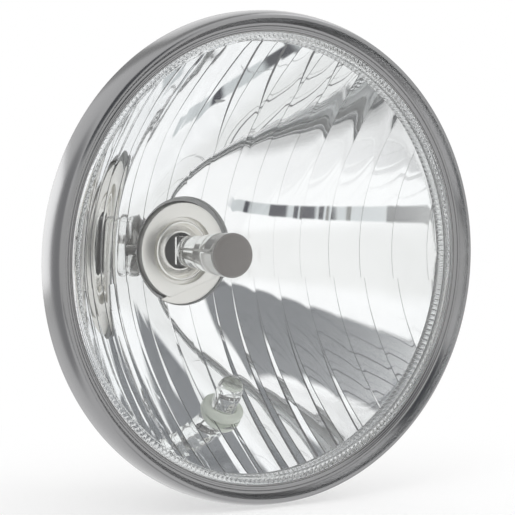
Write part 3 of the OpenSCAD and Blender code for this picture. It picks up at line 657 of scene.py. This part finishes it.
# For each corner of the mirror, from the middle outwards: how far the outer edge of each
# stripe bends forwards, the height at which the wedge beside it starts and how fast that
# widens, and how the wedges are tilted.
CORNERS = {
    "upper right": (
        (0.0, 0.0, 0.06, 0.12, 0.3, 0.34, 0.3, 0.15, 0.1, 0.1),
        ((40, 0.15), (53, 0.22), (62, 0.22), (63, 0.15), (46, 0.05),
         (46, 0.05), (46, 0.05), (60, 0), (60, 0)),
        0.0,
    ),
    "upper left": (
        (0.05, 0.05, 0.1, 0.15, 0.15, 0.15, 0.15, 0.15, 0.12, 0.05),
        ((40, 0.1), (46, 0.12), (44, 0.1), (40, 0.1), (36, 0.08),
         (36, 0.06), (40, 0.05), (60, 0), (60, 0)),
        0.0,
    ),
    "lower right": (
        (0.02, 0.1, 0.15, 0.15, 0.15, 0.12, 0.05, 0.02, 0.0, 0.0),
        ((30, 0.03), (14, 0.04), (14, 0.045), (16, 0.05), (20, 0.05),
         (30, 0.05), (50, 0.05), (60, 0), (60, 0)),
        -0.25,
    ),
    "lower left": (
        (0.0, 0.0, 0.1, 0.15, 0.15, 0.15, 0.15, 0.15, 0.12, 0.05),
        ((20, 0.05), (24, 0.06), (28, 0.06), (30, 0.06), (34, 0.06),
         (38, 0.06), (40, 0.05), (60, 0), (60, 0)),
        -0.1,
    ),
}


def stripe_heights(edges, gain):
    """Focal length and vertex height of each stripe, level with its neighbour at LEVEL_Y."""
    made, vertex = [], VERTEX_Z
    for k in range(len(edges) + 1):
        f = MIDDLE_F + gain - k * F_STEP
        if k:
            before = MIDDLE_F + gain - (k - 1) * F_STEP
            vertex += (edges[k - 1] ** 2 + LEVEL_Y ** 2) / 4 * (1 / before - 1 / f)
        made.append((f, vertex))
    return made


def rows_of(x, kind):
    """Lowest and highest point of the mirror above or below a spot across it."""
    rim = math.sqrt(max(MIRROR_R ** 2 - x * x, 0))
    hole = math.sqrt(max(NECK_R ** 2 - x * x, 0))
    split = max(SPLIT_Y, -rim)
    if kind == "top":
        return hole, rim
    if kind == "middle":
        return split, min(-hole, 0)
    return -rim, min(split, -hole)


THIN_WALL, WALL_GROWTH, WALL_OUT_GROWTH, FULL_WEDGE, THIN_WEDGE = 0.06, 0.75, 0.1, 3, 0.05


def step_walls(wedge):
    """Widths of the two step walls beside a wedge; the one nearer the middle grows with it."""
    grown = min(wedge / FULL_WEDGE, 1)
    return THIN_WALL + WALL_GROWTH * grown, THIN_WALL + WALL_OUT_GROWTH * grown


def slab_columns(kind, edges, gain, corner, count):
    """Upright rows of points across one band of stripes, from the middle outwards.

    Each comes with its part, which is "stripe" or runs from 0 to 1 across a wedge, and with
    whether it lies on a crease.
    """
    table = stripe_heights(edges, gain)
    coves, wedges, tilt = CORNERS[corner]
    hole_x = math.sqrt(NECK_R ** 2 - SPLIT_Y ** 2)
    first = hole_x + 0.02 if kind == "middle" else 0
    ends = [first, *[e for e in edges if e > first + 0.5], MIRROR_R * 0.9997]
    skipped = len(edges) + 2 - len(ends)

    def surface(k, x, y):
        f, vertex = table[k]
        return vertex + (x * x + y * y) / (4 * f)

    def point(k, start, end, part, spot, i):
        """Point i of a column; the wedge widens upwards, so x and y are found together."""
        last = k == len(edges)
        y0, growth = (0, 0) if last else wedges[k]
        share, x = (spot - start) / (end - start), spot
        for _ in range(2):
            low, high = rows_of(x, kind)
            y = low + (high - low) * i / count
            wedge = max(growth * (abs(y) - y0), THIN_WEDGE)
            wall_in, wall_out = step_walls(wedge)
            edge = end - wall_in - wall_out - wedge
            x = start + share * ((end if last else edge) - start)
            if part != "stripe":
                x = edge + wall_in + part * wedge
        if part != "stripe":
            return x, y, (surface(k, x, y) + surface(k + 1, x, y)) / 2 + tilt * (part - 0.5) * wedge
        bend = max(share - 0.45, 0) / 0.55
        return x, y, surface(k, x, y) + coves[k] * bend ** 3

    columns = []
    for k in range(skipped, len(edges) + 1):
        start, end = ends[k - skipped], ends[k - skipped + 1]
        cuts = sorted({start, end, *(c for c in (hole_x, NECK_R) if start + 0.4 < c < end - 0.4)})
        spots = [cuts[0]]
        for low, high in zip(cuts, cuts[1:]):
            n = max(2, round((high - low) / STRIPE_PITCH))
            spots += [low + (high - low) * i / n for i in range(1, n + 1)]
        places = [("stripe", spot, spot in (spots[0], spots[-1])) for spot in spots]
        if k < len(edges):
            places += [(i / 4, end, i in (0, 4)) for i in range(5)]
        for part, spot, crease in places:
            column = [point(k, start, end, part, spot, i) for i in range(count + 1)]
            columns.append((column, part, crease))
    return columns


def slab(kind, side, edges, gain, corner, count):
    """One band of stripes as a closed slab, with its creases as point pairs and its step walls."""
    columns = slab_columns(kind, edges, gain, corner, count)
    points, faces, creases, walls = [], [], set(), set()
    for column, _, crease in columns:
        start = len(points)
        for x, y, z in column:
            points.append(OPTICAL @ Vector((side * x, y, z)))
        for x, y, z in column:
            r = math.hypot(x, y)
            a = math.atan(r / (2 * MIDDLE_F))
            spread = 1 + SHELL * math.sin(a) / r if r else 1
            back = VERTEX_Z + r * r / (4 * MIDDLE_F) - SHELL * math.cos(a)
            points.append(OPTICAL @ Vector((side * x * spread, y * spread, back)))
        if crease:
            creases |= {(start + i, start + i + 1) for i in range(count)}
    row, n = 2 * (count + 1), count + 1
    for c in range(len(columns) - 1):
        a, b = c * row, (c + 1) * row
        is_wall = (columns[c][1] == "stripe" and columns[c + 1][1] == 0) or columns[c][1] == 1
        for i in range(count):
            if is_wall:
                walls.add(len(faces))
            faces.append((a + i, a + i + 1, b + i + 1, b + i))
            faces.append((a + n + i, b + n + i, b + n + i + 1, a + n + i + 1))
        faces.append((a, b, b + n, a + n))
        faces.append((a + count, a + n + count, b + n + count, b + count))
        creases |= {(a, b), (a + count, b + count)}
    for a in (0, (len(columns) - 1) * row):
        faces += [(a + i, a + n + i, a + n + i + 1, a + i + 1) for i in range(count)]
    return points, faces, creases, walls


def mirror_mesh():
    """All six bands of stripes: above, beside and below the bulb, to the right and to the left."""
    points, faces, creases, walls = [], [], set(), set()
    for band in (
        ("top", 1, UPPER_EDGES, 0, "upper right", 90),
        ("middle", 1, UPPER_EDGES, 0, "upper right", 12),
        ("bottom", 1, LOWER_RIGHT, LOWER_GAIN, "lower right", 80),
        ("top", -1, UPPER_EDGES, 0, "upper left", 90),
        ("middle", -1, UPPER_EDGES, 0, "upper left", 12),
        ("bottom", -1, LOWER_LEFT, LOWER_GAIN, "lower left", 80),
    ):
        more, their_faces, their_creases, their_walls = slab(*band)
        walls |= {i + len(faces) for i in their_walls}
        base = len(points)
        points += more
        faces += [tuple(i + base for i in face) for face in their_faces]
        creases |= {(i + base, k + base) for i, k in their_creases}
    return points, faces, creases, walls


mirror_coat = metal("mirror_coat", (0.95, 0.955, 0.96), 0.012, 0.015, 0)
# A dark, dull copy of the mirror coat for the step walls between the stripes: painted shade.
step_wall_painted_shade = metal("step_wall_painted_shade", (0.16, 0.16, 0.165), 0.3, 0.1, 0)
mirror_points, mirror_faces, mirror_creases, mirror_walls = mirror_mesh()
mirror = piece(
    "mirror_bowl", mirror_points, mirror_faces, ["reflector"], "mirror_coat", [mirror_coat, step_wall_painted_shade], 30,
    mirror_creases,
)
# The step walls take the dark copy of the coat: painted shade.
for i in mirror_walls:
    mirror.data.polygons[i].material_index = 1

# Outside of the bowl: bare moulding with the mouth flange, the neck, the rear collar that
# carries the boot, the boss of the parking bulb and a vent spigot. The coating also covers
# the trough that takes the lens.

NECK_OUT, SEAT_Z, COLLAR_R, COLLAR_Z, MOUTH_R, MOUTH_Z = 24.0, -59.957, 36.0, -65.0, 87.6, -1.0
TROUGH_IN, TROUGH_OUT, TROUGH_LOW = 81.3, 84.6, -1.6


def bowl_back(r, wall=3.0):
    """Radius and height behind the middle stripe's paraboloid, at a wall's thickness from it."""
    a = math.atan(r / (2 * MIDDLE_F))
    return r + wall * math.sin(a), VERTEX_Z + r * r / (4 * MIDDLE_F) - wall * math.cos(a)


grey_plastic = moulding("bowl_plastic", (0.33, 0.335, 0.34), 0.42, 2200, 3e-5, 0.12)
trough_coat = metal("trough_coat", (0.94, 0.945, 0.95), 0.12, 0.06, 1e-6)
bowl_outline = eased([
    (NECK_R, SEAT_Z + 1.5), (NECK_R, -57.6), (NECK_R + 0.6, -57.4),
    *[bowl_back(NECK_R + 0.6 + (80.0 - NECK_R - 0.6) * i / 40, 2.0) for i in range(41)],
    (81.6, -1.3), (82.0, -1.1), (84.4, 2.4), (84.4, 3.3), (86.4, 3.3),
    (86.4, MOUTH_Z), (MOUTH_R, MOUTH_Z), (MOUTH_R, MOUTH_Z - 2.4), (84.0, MOUTH_Z - 2.4),
    *[bowl_back(81.0 - (81.0 - 37.5) * i / 30) for i in range(31)],
    (COLLAR_R + 0.4, -50.0), (COLLAR_R, -50.6), (COLLAR_R, -63.4), (COLLAR_R + 1, -63.6),
    (COLLAR_R + 1, COLLAR_Z), (COLLAR_R - 1, COLLAR_Z), (COLLAR_R - 1, -63.4), (COLLAR_R - 2.5, -63.2),
    (COLLAR_R - 2.5, -52.6),
    *[bowl_back(33.0 - 8.6 * i / 8) for i in range(9)],
    (NECK_OUT, SEAT_Z), (19.6, SEAT_Z), (19.6, SEAT_Z + 1.5),
], 0.25)
bowl = piece("bowl_outside", *spun(bowl_outline, steps=320), [], None, [grey_plastic, trough_coat])
for face in bowl.data.polygons:
    middle = to_lamp @ face.center
    if middle.z > TROUGH_LOW and TROUGH_IN < math.hypot(middle.x, middle.y) < TROUGH_OUT:
        face.material_index = 1

# Main bulb.
# A two-filament bulb: pressed bright disc with a straight edge, drawn sleeve, clear glass with
# a grey painted tip, two tungsten coils on bent wires, and a trough under the front coil.

FLANGE_Z, FLANGE_R, HOLE_R, KEY_REACH, KEY_TURN = -55.957, 19.0, 13.2, 15.4, math.radians(-71.5)
TIP_Z, GLASS_R, SLEEVE_R, DISH_Z = -17.0, 8.4, 11.8, -60.4


def cut_radius(a, radius):
    """Radius of the disc at an angle; one side of it is cut off straight."""
    across = math.cos(a - KEY_TURN)
    return min(radius, KEY_REACH / across) if across > 0.3 else radius


def disc_outline(a):
    """Section of the disc at an angle, with its eased front edge and the seat round the sleeve."""
    edge, out = 0.35, cut_radius(a, FLANGE_R)
    return [
        (out, FLANGE_Z - edge), (out - 0.1, FLANGE_Z - 0.1), (out - edge, FLANGE_Z),
        (HOLE_R + 0.5, FLANGE_Z), (HOLE_R + 0.15, FLANGE_Z - 0.12), (HOLE_R, FLANGE_Z - 0.5),
        (HOLE_R, SEAT_Z + 0.8), (SLEEVE_R + 0.05, SEAT_Z + 0.8), (SLEEVE_R + 0.05, SEAT_Z),
        (HOLE_R + 0.8, SEAT_Z), (HOLE_R + 0.8, FLANGE_Z - 1), (out - 1, FLANGE_Z - 1), (out - 1, SEAT_Z - 1),
        (out, SEAT_Z - 1),
    ]


bulb_metal = metal("bulb_metal", (0.80, 0.79, 0.76), 0.24, 0.12, 1.5e-6)
piece("bulb_disc", *spun(disc_outline, steps=360), ["bulb_flange"], "bulb_metal", [bulb_metal])


def key_segment_mesh():
    """Solid plate between the straight edge and a rounded outer edge, a little lower than the disc."""
    outer, steps = NECK_R - 0.3, 48
    half = math.sqrt(outer ** 2 - (KEY_REACH - 0.6) ** 2)
    turn = Matrix.Rotation(KEY_TURN, 4, "Z")
    points, faces = [], []
    for z, inset in ((-1.4, 0.3), (-1.65, 0.0), (-2.4, 0.0)):
        for i in range(steps + 1):
            s = (half - inset) * (2 * i / steps - 1)
            points.append(OPTICAL @ turn @ Vector((KEY_REACH - 0.6, s, FLANGE_Z + z)))
            far = math.sqrt(max((outer - inset) ** 2 - s * s, 0))
            points.append(OPTICAL @ turn @ Vector((max(far, KEY_REACH - 0.6), s, FLANGE_Z + z)))
    row = 2 * (steps + 1)
    for i in range(steps):
        j = 2 * i
        faces.append((j, j + 1, j + 3, j + 2))
        faces.append((2 * row + j, 2 * row + j + 2, 2 * row + j + 3, 2 * row + j + 1))
        for level in range(2):
            a, b = level * row + j, (level + 1) * row + j
            faces.append((a + 1, b + 1, b + 3, a + 3))
            faces.append((a, a + 2, b + 2, b))
    return points, faces


piece("bulb_key_plate", *key_segment_mesh(), [], "bulb_metal", [bulb_metal])

sleeve_outline = eased([
    (SLEEVE_R - 1, -66), (SLEEVE_R, -66), (SLEEVE_R, FLANGE_Z - 1.0), (SLEEVE_R - 0.9, FLANGE_Z - 0.6),
    (SLEEVE_R - 1.2, FLANGE_Z - 1.4), (SLEEVE_R - 1.6, DISH_Z), (7.6, DISH_Z + 2.4), (7.0, DISH_Z + 2.2),
    (7.0, DISH_Z + 1.2), (SLEEVE_R - 1.4, DISH_Z - 1.2),
], 0.4, 4)
sleeve_metal = metal("sleeve_metal", (0.86, 0.85, 0.82), 0.14, 0.1, 1e-6)
piece("bulb_sleeve_cup", *spun(sleeve_outline), ["bulb_sleeve"], "sleeve_metal", [sleeve_metal])

GLASS_WALL, TIP_ROUND, TIP_SAG = 0.9, 2.4, 0.35
TIP_FLAT = GLASS_R - TIP_ROUND
NARROWING = [(8, 0), (14, 0.35), (20, 1.1), (25, 1.75), (30, 2)]


def tip_top(z):
    """The nearly flat end of the glass, from just beside its middle outwards."""
    return [(TIP_FLAT * t, z - TIP_SAG * t ** 3) for t in (0.35, 0.7, 0.9)]


def glass_outline(inset):
    """The envelope from its tip down to its foot, which is 2 mm narrower."""
    tip = [(0, TIP_Z - inset), *tip_top(TIP_Z - inset)]
    tip += arc(TIP_FLAT, TIP_Z - 3.2, TIP_ROUND - inset, 80, 0, 10)
    return tip + [(GLASS_R - narrower - inset, TIP_Z - down) for down, narrower in NARROWING]


glass_profile = [
    *glass_outline(0), (GLASS_R - 2, -50.6), (GLASS_R - 2.6, -51.4), (0, -51.6), (0, -49.4), (3.4, -49.0),
    *glass_outline(GLASS_WALL)[::-1],
]
bulb_clear = clear_material("bulb_clear", (0.99, 0.995, 0.99), 1.48)
piece("bulb_envelope", *spun(glass_profile, steps=128), ["bulb_glass"], "bulb_clear", [bulb_clear], 60)


def block(low, high):
    """Eight corners of a block and its faces, in the lamp's own millimetres."""
    xs, ys, zs = zip(low, high)
    points = [OPTICAL @ Vector((x, y, z)) for x in xs for y in ys for z in zs]
    return points, [(0, 1, 3, 2), (4, 6, 7, 5), (0, 4, 5, 1), (2, 3, 7, 6), (0, 2, 6, 4), (1, 5, 7, 3)]


def softened(made, width, segments=3):
    """Rounds off every edge of a piece."""
    bevel = made.modifiers.new("eased", "BEVEL")
    bevel.width = width
    bevel.segments = segments
    bevel.harden_normals = True
    return made


pinch = piece("bulb_pinch", *block((-1.8, -5.8, -60), (1.8, 5.8, -50.9)), [], "bulb_clear", [bulb_clear])
softened(pinch, 0.0008)

PAINT = 0.2
tip_profile = [
    (0, TIP_Z + PAINT), *tip_top(TIP_Z + PAINT), *arc(TIP_FLAT, TIP_Z - 3.2, TIP_ROUND + PAINT, 80, 0, 12),
    (GLASS_R + 0.18, TIP_Z - 3.6), (GLASS_R + 0.05, TIP_Z - 3.75),
    *arc(TIP_FLAT, TIP_Z - 3.2, TIP_ROUND + 0.02, 0, 80, 10), (0, TIP_Z + 0.02),
]
tip_paint = moulding("tip_paint", (0.165, 0.15, 0.143), 0.42, 400, 1e-6, 0.0)
piece("bulb_tip_paint", *spun(tip_profile, steps=128), ["bulb_tip_coat"], "tip_paint", [tip_paint], 60)


def wire(path, radius, axis=OPTICAL, sides=10):
    """Points and faces of a round wire that follows a path, closed at both ends."""
    path = [Vector(p) for p in path]
    points, faces, side = [], [], None
    for i, here in enumerate(path):
        ahead = (path[min(i + 1, len(path) - 1)] - path[max(i - 1, 0)]).normalized()
        if side is None:
            side = ahead.orthogonal().normalized()
        side = (side - side.dot(ahead) * ahead).normalized()
        other = ahead.cross(side)
        for k in range(sides):
            a = 2 * math.pi * k / sides
            points.append(axis @ (here + radius * (math.cos(a) * side + math.sin(a) * other)))
    for i in range(len(path) - 1):
        for k in range(sides):
            n = (k + 1) % sides
            faces.append((i * sides + k, i * sides + n, (i + 1) * sides + n, (i + 1) * sides + k))
    faces.append(tuple(range(sides))[::-1])
    faces.append(tuple((len(path) - 1) * sides + k for k in range(sides)))
    return points, faces


def bends(corners, radius, steps=6):
    """A path through corners whose bends are rounded."""
    corners = [Vector(c) for c in corners]
    path = [corners[0]]
    for before, corner, after in zip(corners, corners[1:], corners[2:]):
        path += rounded(before, corner, after, radius, steps)
    return path + [corners[-1]]


def joined(*parts):
    """Several sets of points and faces as one."""
    points, faces = [], []
    for more, their_faces in parts:
        faces += [tuple(i + len(points) for i in face) for face in their_faces]
        points += more
    return points, faces


def coil_path(x, y, start, length, radius, turns, per_turn=16):
    """A helix along the lamp's axis."""
    count = turns * per_turn
    return [
        (x + radius * math.cos(2 * math.pi * i / per_turn), y + radius * math.sin(2 * math.pi * i / per_turn),
         start + length * i / count)
        for i in range(count + 1)
    ]


COIL_R, COIL_WIRE, LEAD = 0.72, 0.16, 0.35
filament_metal = metal("filament", (0.30, 0.29, 0.29), 0.35, 0.1, 0)
for name, node, path in (
    ("dip_coil", "dip_filament", coil_path(0, 1, -31, 5, COIL_R, 11)),
    ("main_coil", "main_filament", coil_path(0, 0, -39.5, 4.5, COIL_R, 10)),
):
    piece(name, *wire(path, COIL_WIRE, sides=8), [node], "filament", [filament_metal])

lead_wire = metal("lead_wire", (0.55, 0.54, 0.53), 0.25, 0.1, 0)
piece("support_wires", *joined(
    wire(bends([(-4, 1, -49.2), (-4, 1, -25.65), (-0.4, 1, -25.65), (-0.4, 1, -26.4)], 1.2), LEAD),
    wire(bends([(4, 0, -49.2), (4, 0, -34.65), (0, 0, -34.65), (0, 1, -31.2)], 1.0), LEAD),
    wire(bends([(0, -4, -49.2), (0, -4, -39.85), (0, 0, -39.85), (0, 0, -39.3)], 0.9), LEAD),
    wire(bends([(0.5, -0.35, -34.65), (0, -3.35, -34.65), (0, -3.35, -28)], 0.8), LEAD),
), ["bulb_leads"], "lead_wire", [lead_wire])


def shield_mesh():
    """A pressed trough, open above and closed at its front end."""
    section = [math.radians(180 + 180 * i / 24) for i in range(25)]
    points, faces = [], []
    rings = [
        (3.0, -32.0), (3.0, -24.9), (2.9, -24.6), (2.6, -24.5), (0.2, -24.5), (0.2, -24.9),
        (2.45, -24.9), (2.6, -25.1), (2.6, -32.0),
    ]
    for r, z in rings:
        points += [OPTICAL @ Vector((r * math.cos(a), 0.2 + r * math.sin(a), z)) for a in section]
    n = len(section)
    for j in range(len(rings)):
        k = (j + 1) % len(rings)
        faces += [(j * n + i, j * n + i + 1, k * n + i + 1, k * n + i) for i in range(n - 1)]
    faces.append(tuple(j * n for j in range(len(rings))))
    faces.append(tuple(j * n + n - 1 for j in reversed(range(len(rings)))))
    return points, faces


shield_metal = metal("shield_metal", (0.62, 0.61, 0.6), 0.3, 0.12, 1e-6)
piece("dip_trough", *shield_mesh(), ["dip_shield"], "shield_metal", [shield_metal])

# Moulded base behind the disc, with three flat blades.

base_plastic = moulding("base_plastic", (0.025, 0.025, 0.027), 0.5, 2500, 3e-5, 0.08)
base_outline = eased([
    (0, -63), (10.7, -63), (10.7, -66), (13.6, -66), (13.6, -76.6), (13.2, -78), (10.4, -78),
    (10.2, -77.4), (0, -77.4),
], 0.4)
piece("bulb_base_head", *spun(base_outline, steps=128), ["bulb_base"], "base_plastic", [base_plastic])


def blade_mesh(turned, place):
    """A stamped blade with a tapered tip."""
    w, t, taper, root, end = 3.9, 0.4, 1.5, -70.1, -87.5
    outline = [
        (-w, root), (w, root), (w, end + taper), (w - taper, end), (-w + taper, end), (-w, end + taper),
    ]
    points = []
    for side in (-t, t):
        for u, z in outline:
            spot = (side, u) if turned else (u, side)
            points.append(OPTICAL @ Vector((place[0] + spot[0], place[1] + spot[1], z)))
    n = len(outline)
    faces = [tuple(range(n)), tuple(range(2 * n - 1, n - 1, -1))]
    faces += [(i, i + n, (i + 1) % n + n, (i + 1) % n) for i in range(n)]
    return points, faces


blade_metal = metal("blade_metal", (0.72, 0.60, 0.36), 0.28, 0.15, 0)
blades = piece("bulb_blade_set", *joined(
    blade_mesh(False, (0, 7)), blade_mesh(True, (7.5, -2)), blade_mesh(True, (-7.5, -2))
), ["bulb_blades"], "blade_metal", [blade_metal])
softened(blades, 0.00015, 2)

# Parking bulb.
# A small wedge-base bulb in a pale translucent rubber collar, which is pressed through the
# bowl from the front and holds a black socket behind it.

PARK_Y, PARK_LEAN = -60.0, 34.0
PARK_Z = VERTEX_Z + PARK_Y ** 2 / (4 * MIDDLE_F)
LEAN = Matrix.Rotation(math.radians(PARK_LEAN - 90), 4, "X")
PARKED = OPTICAL @ Matrix.Translation((0, PARK_Y, PARK_Z)) @ LEAN

collar_outline = eased([
    (5.1, -10), (7.55, -10), (7.55, -8), (6.35, -8), (6.35, -0.2), (8.1, -0.2),
    *arc(6.9, 1.2, 1.3, 0, 90, 8), *arc(5.7, 1.9, 0.6, 90, 180, 5),
], 0.2)
collar_rubber = moulding("grommet_rubber", (0.66, 0.70, 0.62), 0.22, 1800, 8e-6, 0.0)
piece("park_collar", *spun(collar_outline, PARKED, 128), ["park_grommet"], "grommet_rubber", [collar_rubber])


def park_glass_outline():
    """A round glass with a long dome, on a solid wedge."""
    r, wall, straight, dome = 5.0, 0.7, 10.0, 6.5
    quarter = [math.radians(a) for a in range(0, 90, 9)]
    outside = [(r * math.cos(a), straight + dome * math.sin(a)) for a in quarter]
    inside = [((r - wall) * math.cos(a), straight + (dome - wall) * math.sin(a)) for a in quarter[::-1]]
    top = [(0, straight + dome), (0, straight + dome - wall)]
    wedge = [(0, -1), (r - 0.6, -1), (r, 0)]
    return wedge + outside + top + inside + [(r - wall, 1.6), (r - wall - 0.8, 1.0), (0, 1.0)]


park_clear = clear_material("park_clear", (0.99, 0.995, 0.99), 1.48)
park_envelope = spun(park_glass_outline(), PARKED, 96)
piece("park_envelope", *park_envelope, ["park_glass"], "park_clear", [park_clear], 60)


def sideways_coil(half, height, radius, turns, per_turn=12):
    """A helix across the parking bulb."""
    count = turns * per_turn
    return [
        (-half + 2 * half * i / count, radius * math.cos(2 * math.pi * i / per_turn),
         height + radius * math.sin(2 * math.pi * i / per_turn)) for i in range(count + 1)
    ]


park_coil = wire(sideways_coil(2.0, 8.0, 0.6, 9), 0.12, PARKED, 6)
piece("park_coil", *park_coil, ["park_filament"], "filament", [filament_metal])
park_wires = [
    wire(bends([(side * 2.6, 0, 0.9), (side * 2.6, 0, 6), (side * 2.1, 0, 8.5)], 1), 0.25, PARKED, 8)
    for side in (-1, 1)
]
piece("park_supports", *joined(*park_wires), ["park_leads"], "lead_wire", [lead_wire])

socket_plastic = moulding("socket_plastic", (0.03, 0.03, 0.032), 0.48, 2500, 3e-5, 0.1)
socket_outline = eased([
    (0, -1.1), (5.0, -1.1), (5.0, -10), (6.6, -10), (6.6, -11.6), (6.2, -12), (6.2, -13.4),
    (6.6, -13.8), (6.6, -19.4), (6.0, -20), (0, -20),
], 0.3)
park_socket = spun(socket_outline, PARKED, 96)
piece("park_socket_body", *park_socket, ["park_socket"], "socket_plastic", [socket_plastic])


def park_block(low, high):
    """A block that leans with the parking bulb."""
    points, faces = block(low, high)
    return [PARKED @ (to_lamp @ p) for p in points], faces


contacts = piece("park_contact_pair", *joined(
    park_block((-4.4, -0.3, -24), (-1.6, 0.3, -16.1)), park_block((1.6, -0.3, -24), (4.4, 0.3, -16.1)),
    park_block((-1.2, 6.3, -20), (1.2, 8.0, -15)), park_block((-1.2, -8.0, -20), (1.2, -6.3, -15)),
), ["park_contacts"], "blade_metal", [blade_metal])
softened(contacts, 0.0002, 2)

# Boot and vent cap.
# A black rubber boot stretched over the rear collar and round the bulb base, with one fold
# and a pull tab, and a small cap on the vent spigot. The spigot and the boss of the parking
# bulb belong to the bowl's moulding.

boot_outline = eased([
    (36.1, -58), (39.1, -58), (39.1, -67), (26.8, -67), (24.8, -72), (21.8, -72),
    (17.2, -67), (15.7, -68.5), (15.7, -77), (13.65, -77), (13.65, -66), (15.9, -65),
    (19.6, -70), (23.8, -70), (25.8, -65), (37.1, -65), (37.1, -63.3), (36.1, -63.3),
], 0.9, 5)
boot_rubber = moulding("boot_rubber", (0.022, 0.022, 0.024), 0.55, 1400, 8e-5, 0.16)
boot = piece("boot_skin", *spun(boot_outline), ["dust_boot"], "boot_rubber", [boot_rubber], 60)
tab = piece("boot_tab", *block((-6, -46.1, -67), (6, -38.6, -65.2)), [], "boot_rubber", [boot_rubber], 60)
softened(tab, 0.0008)

VENT_PLACE = (0, 62, -42)
VENT_AXIS = OPTICAL @ Matrix.Translation(VENT_PLACE)
cap_outline = eased([(0, -2.4), (5.4, -2.4), (5.4, 5), (4.05, 5), (4.05, -1), (0, -1)], 0.5, 4)
cap_rubber = moulding("cap_rubber", (0.03, 0.03, 0.03), 0.55, 1800, 5e-5, 0.12)
piece("vent_cap_skin", *spun(cap_outline, VENT_AXIS, 96), ["vent_cap"], "cap_rubber", [cap_rubber])
spigot_outline = eased([(0.9, 0), (4.0, 0), (4.0, 13.2), (0.9, 13.2)], 0.3)
piece("vent_spigot", *spun(spigot_outline, VENT_AXIS, 64), [], None, [grey_plastic])
boss_outline = eased([(6.4, -8), (9.2, -8), (9.2, -1.6), (6.4, -1.6)], 0.2)
piece("park_boss", *spun(boss_outline, PARKED, 96), [], None, [grey_plastic])

# Spring wire, its fittings, and the clips inside the rim.
# Hard-drawn wire holds the bulb's lugs on their seat; bent steel strips press the bowl into
# the rim. Their solids are right as they are and only get their metals.

steel = metal("clip_steel", (0.56, 0.57, 0.59), 0.25, 0.15, 1e-6)
for node, finish in (
    ("rim_clips", steel),
    ("bulb_wire_clip", metal("spring_wire", (0.6, 0.6, 0.62), 0.2, 0.1, 0)),
    ("wire_clip_hinge", metal("plated_sheet", (0.62, 0.63, 0.62), 0.32, 0.15, 1e-6)),
    ("wire_clip_catch", metal("plated_catch", (0.62, 0.63, 0.62), 0.32, 0.15, 1e-6)),
    ("clip_screws", metal("screw_metal", (0.5, 0.51, 0.52), 0.3, 0.15, 0)),
):
    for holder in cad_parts[node].material_slots:
        holder.material = finish
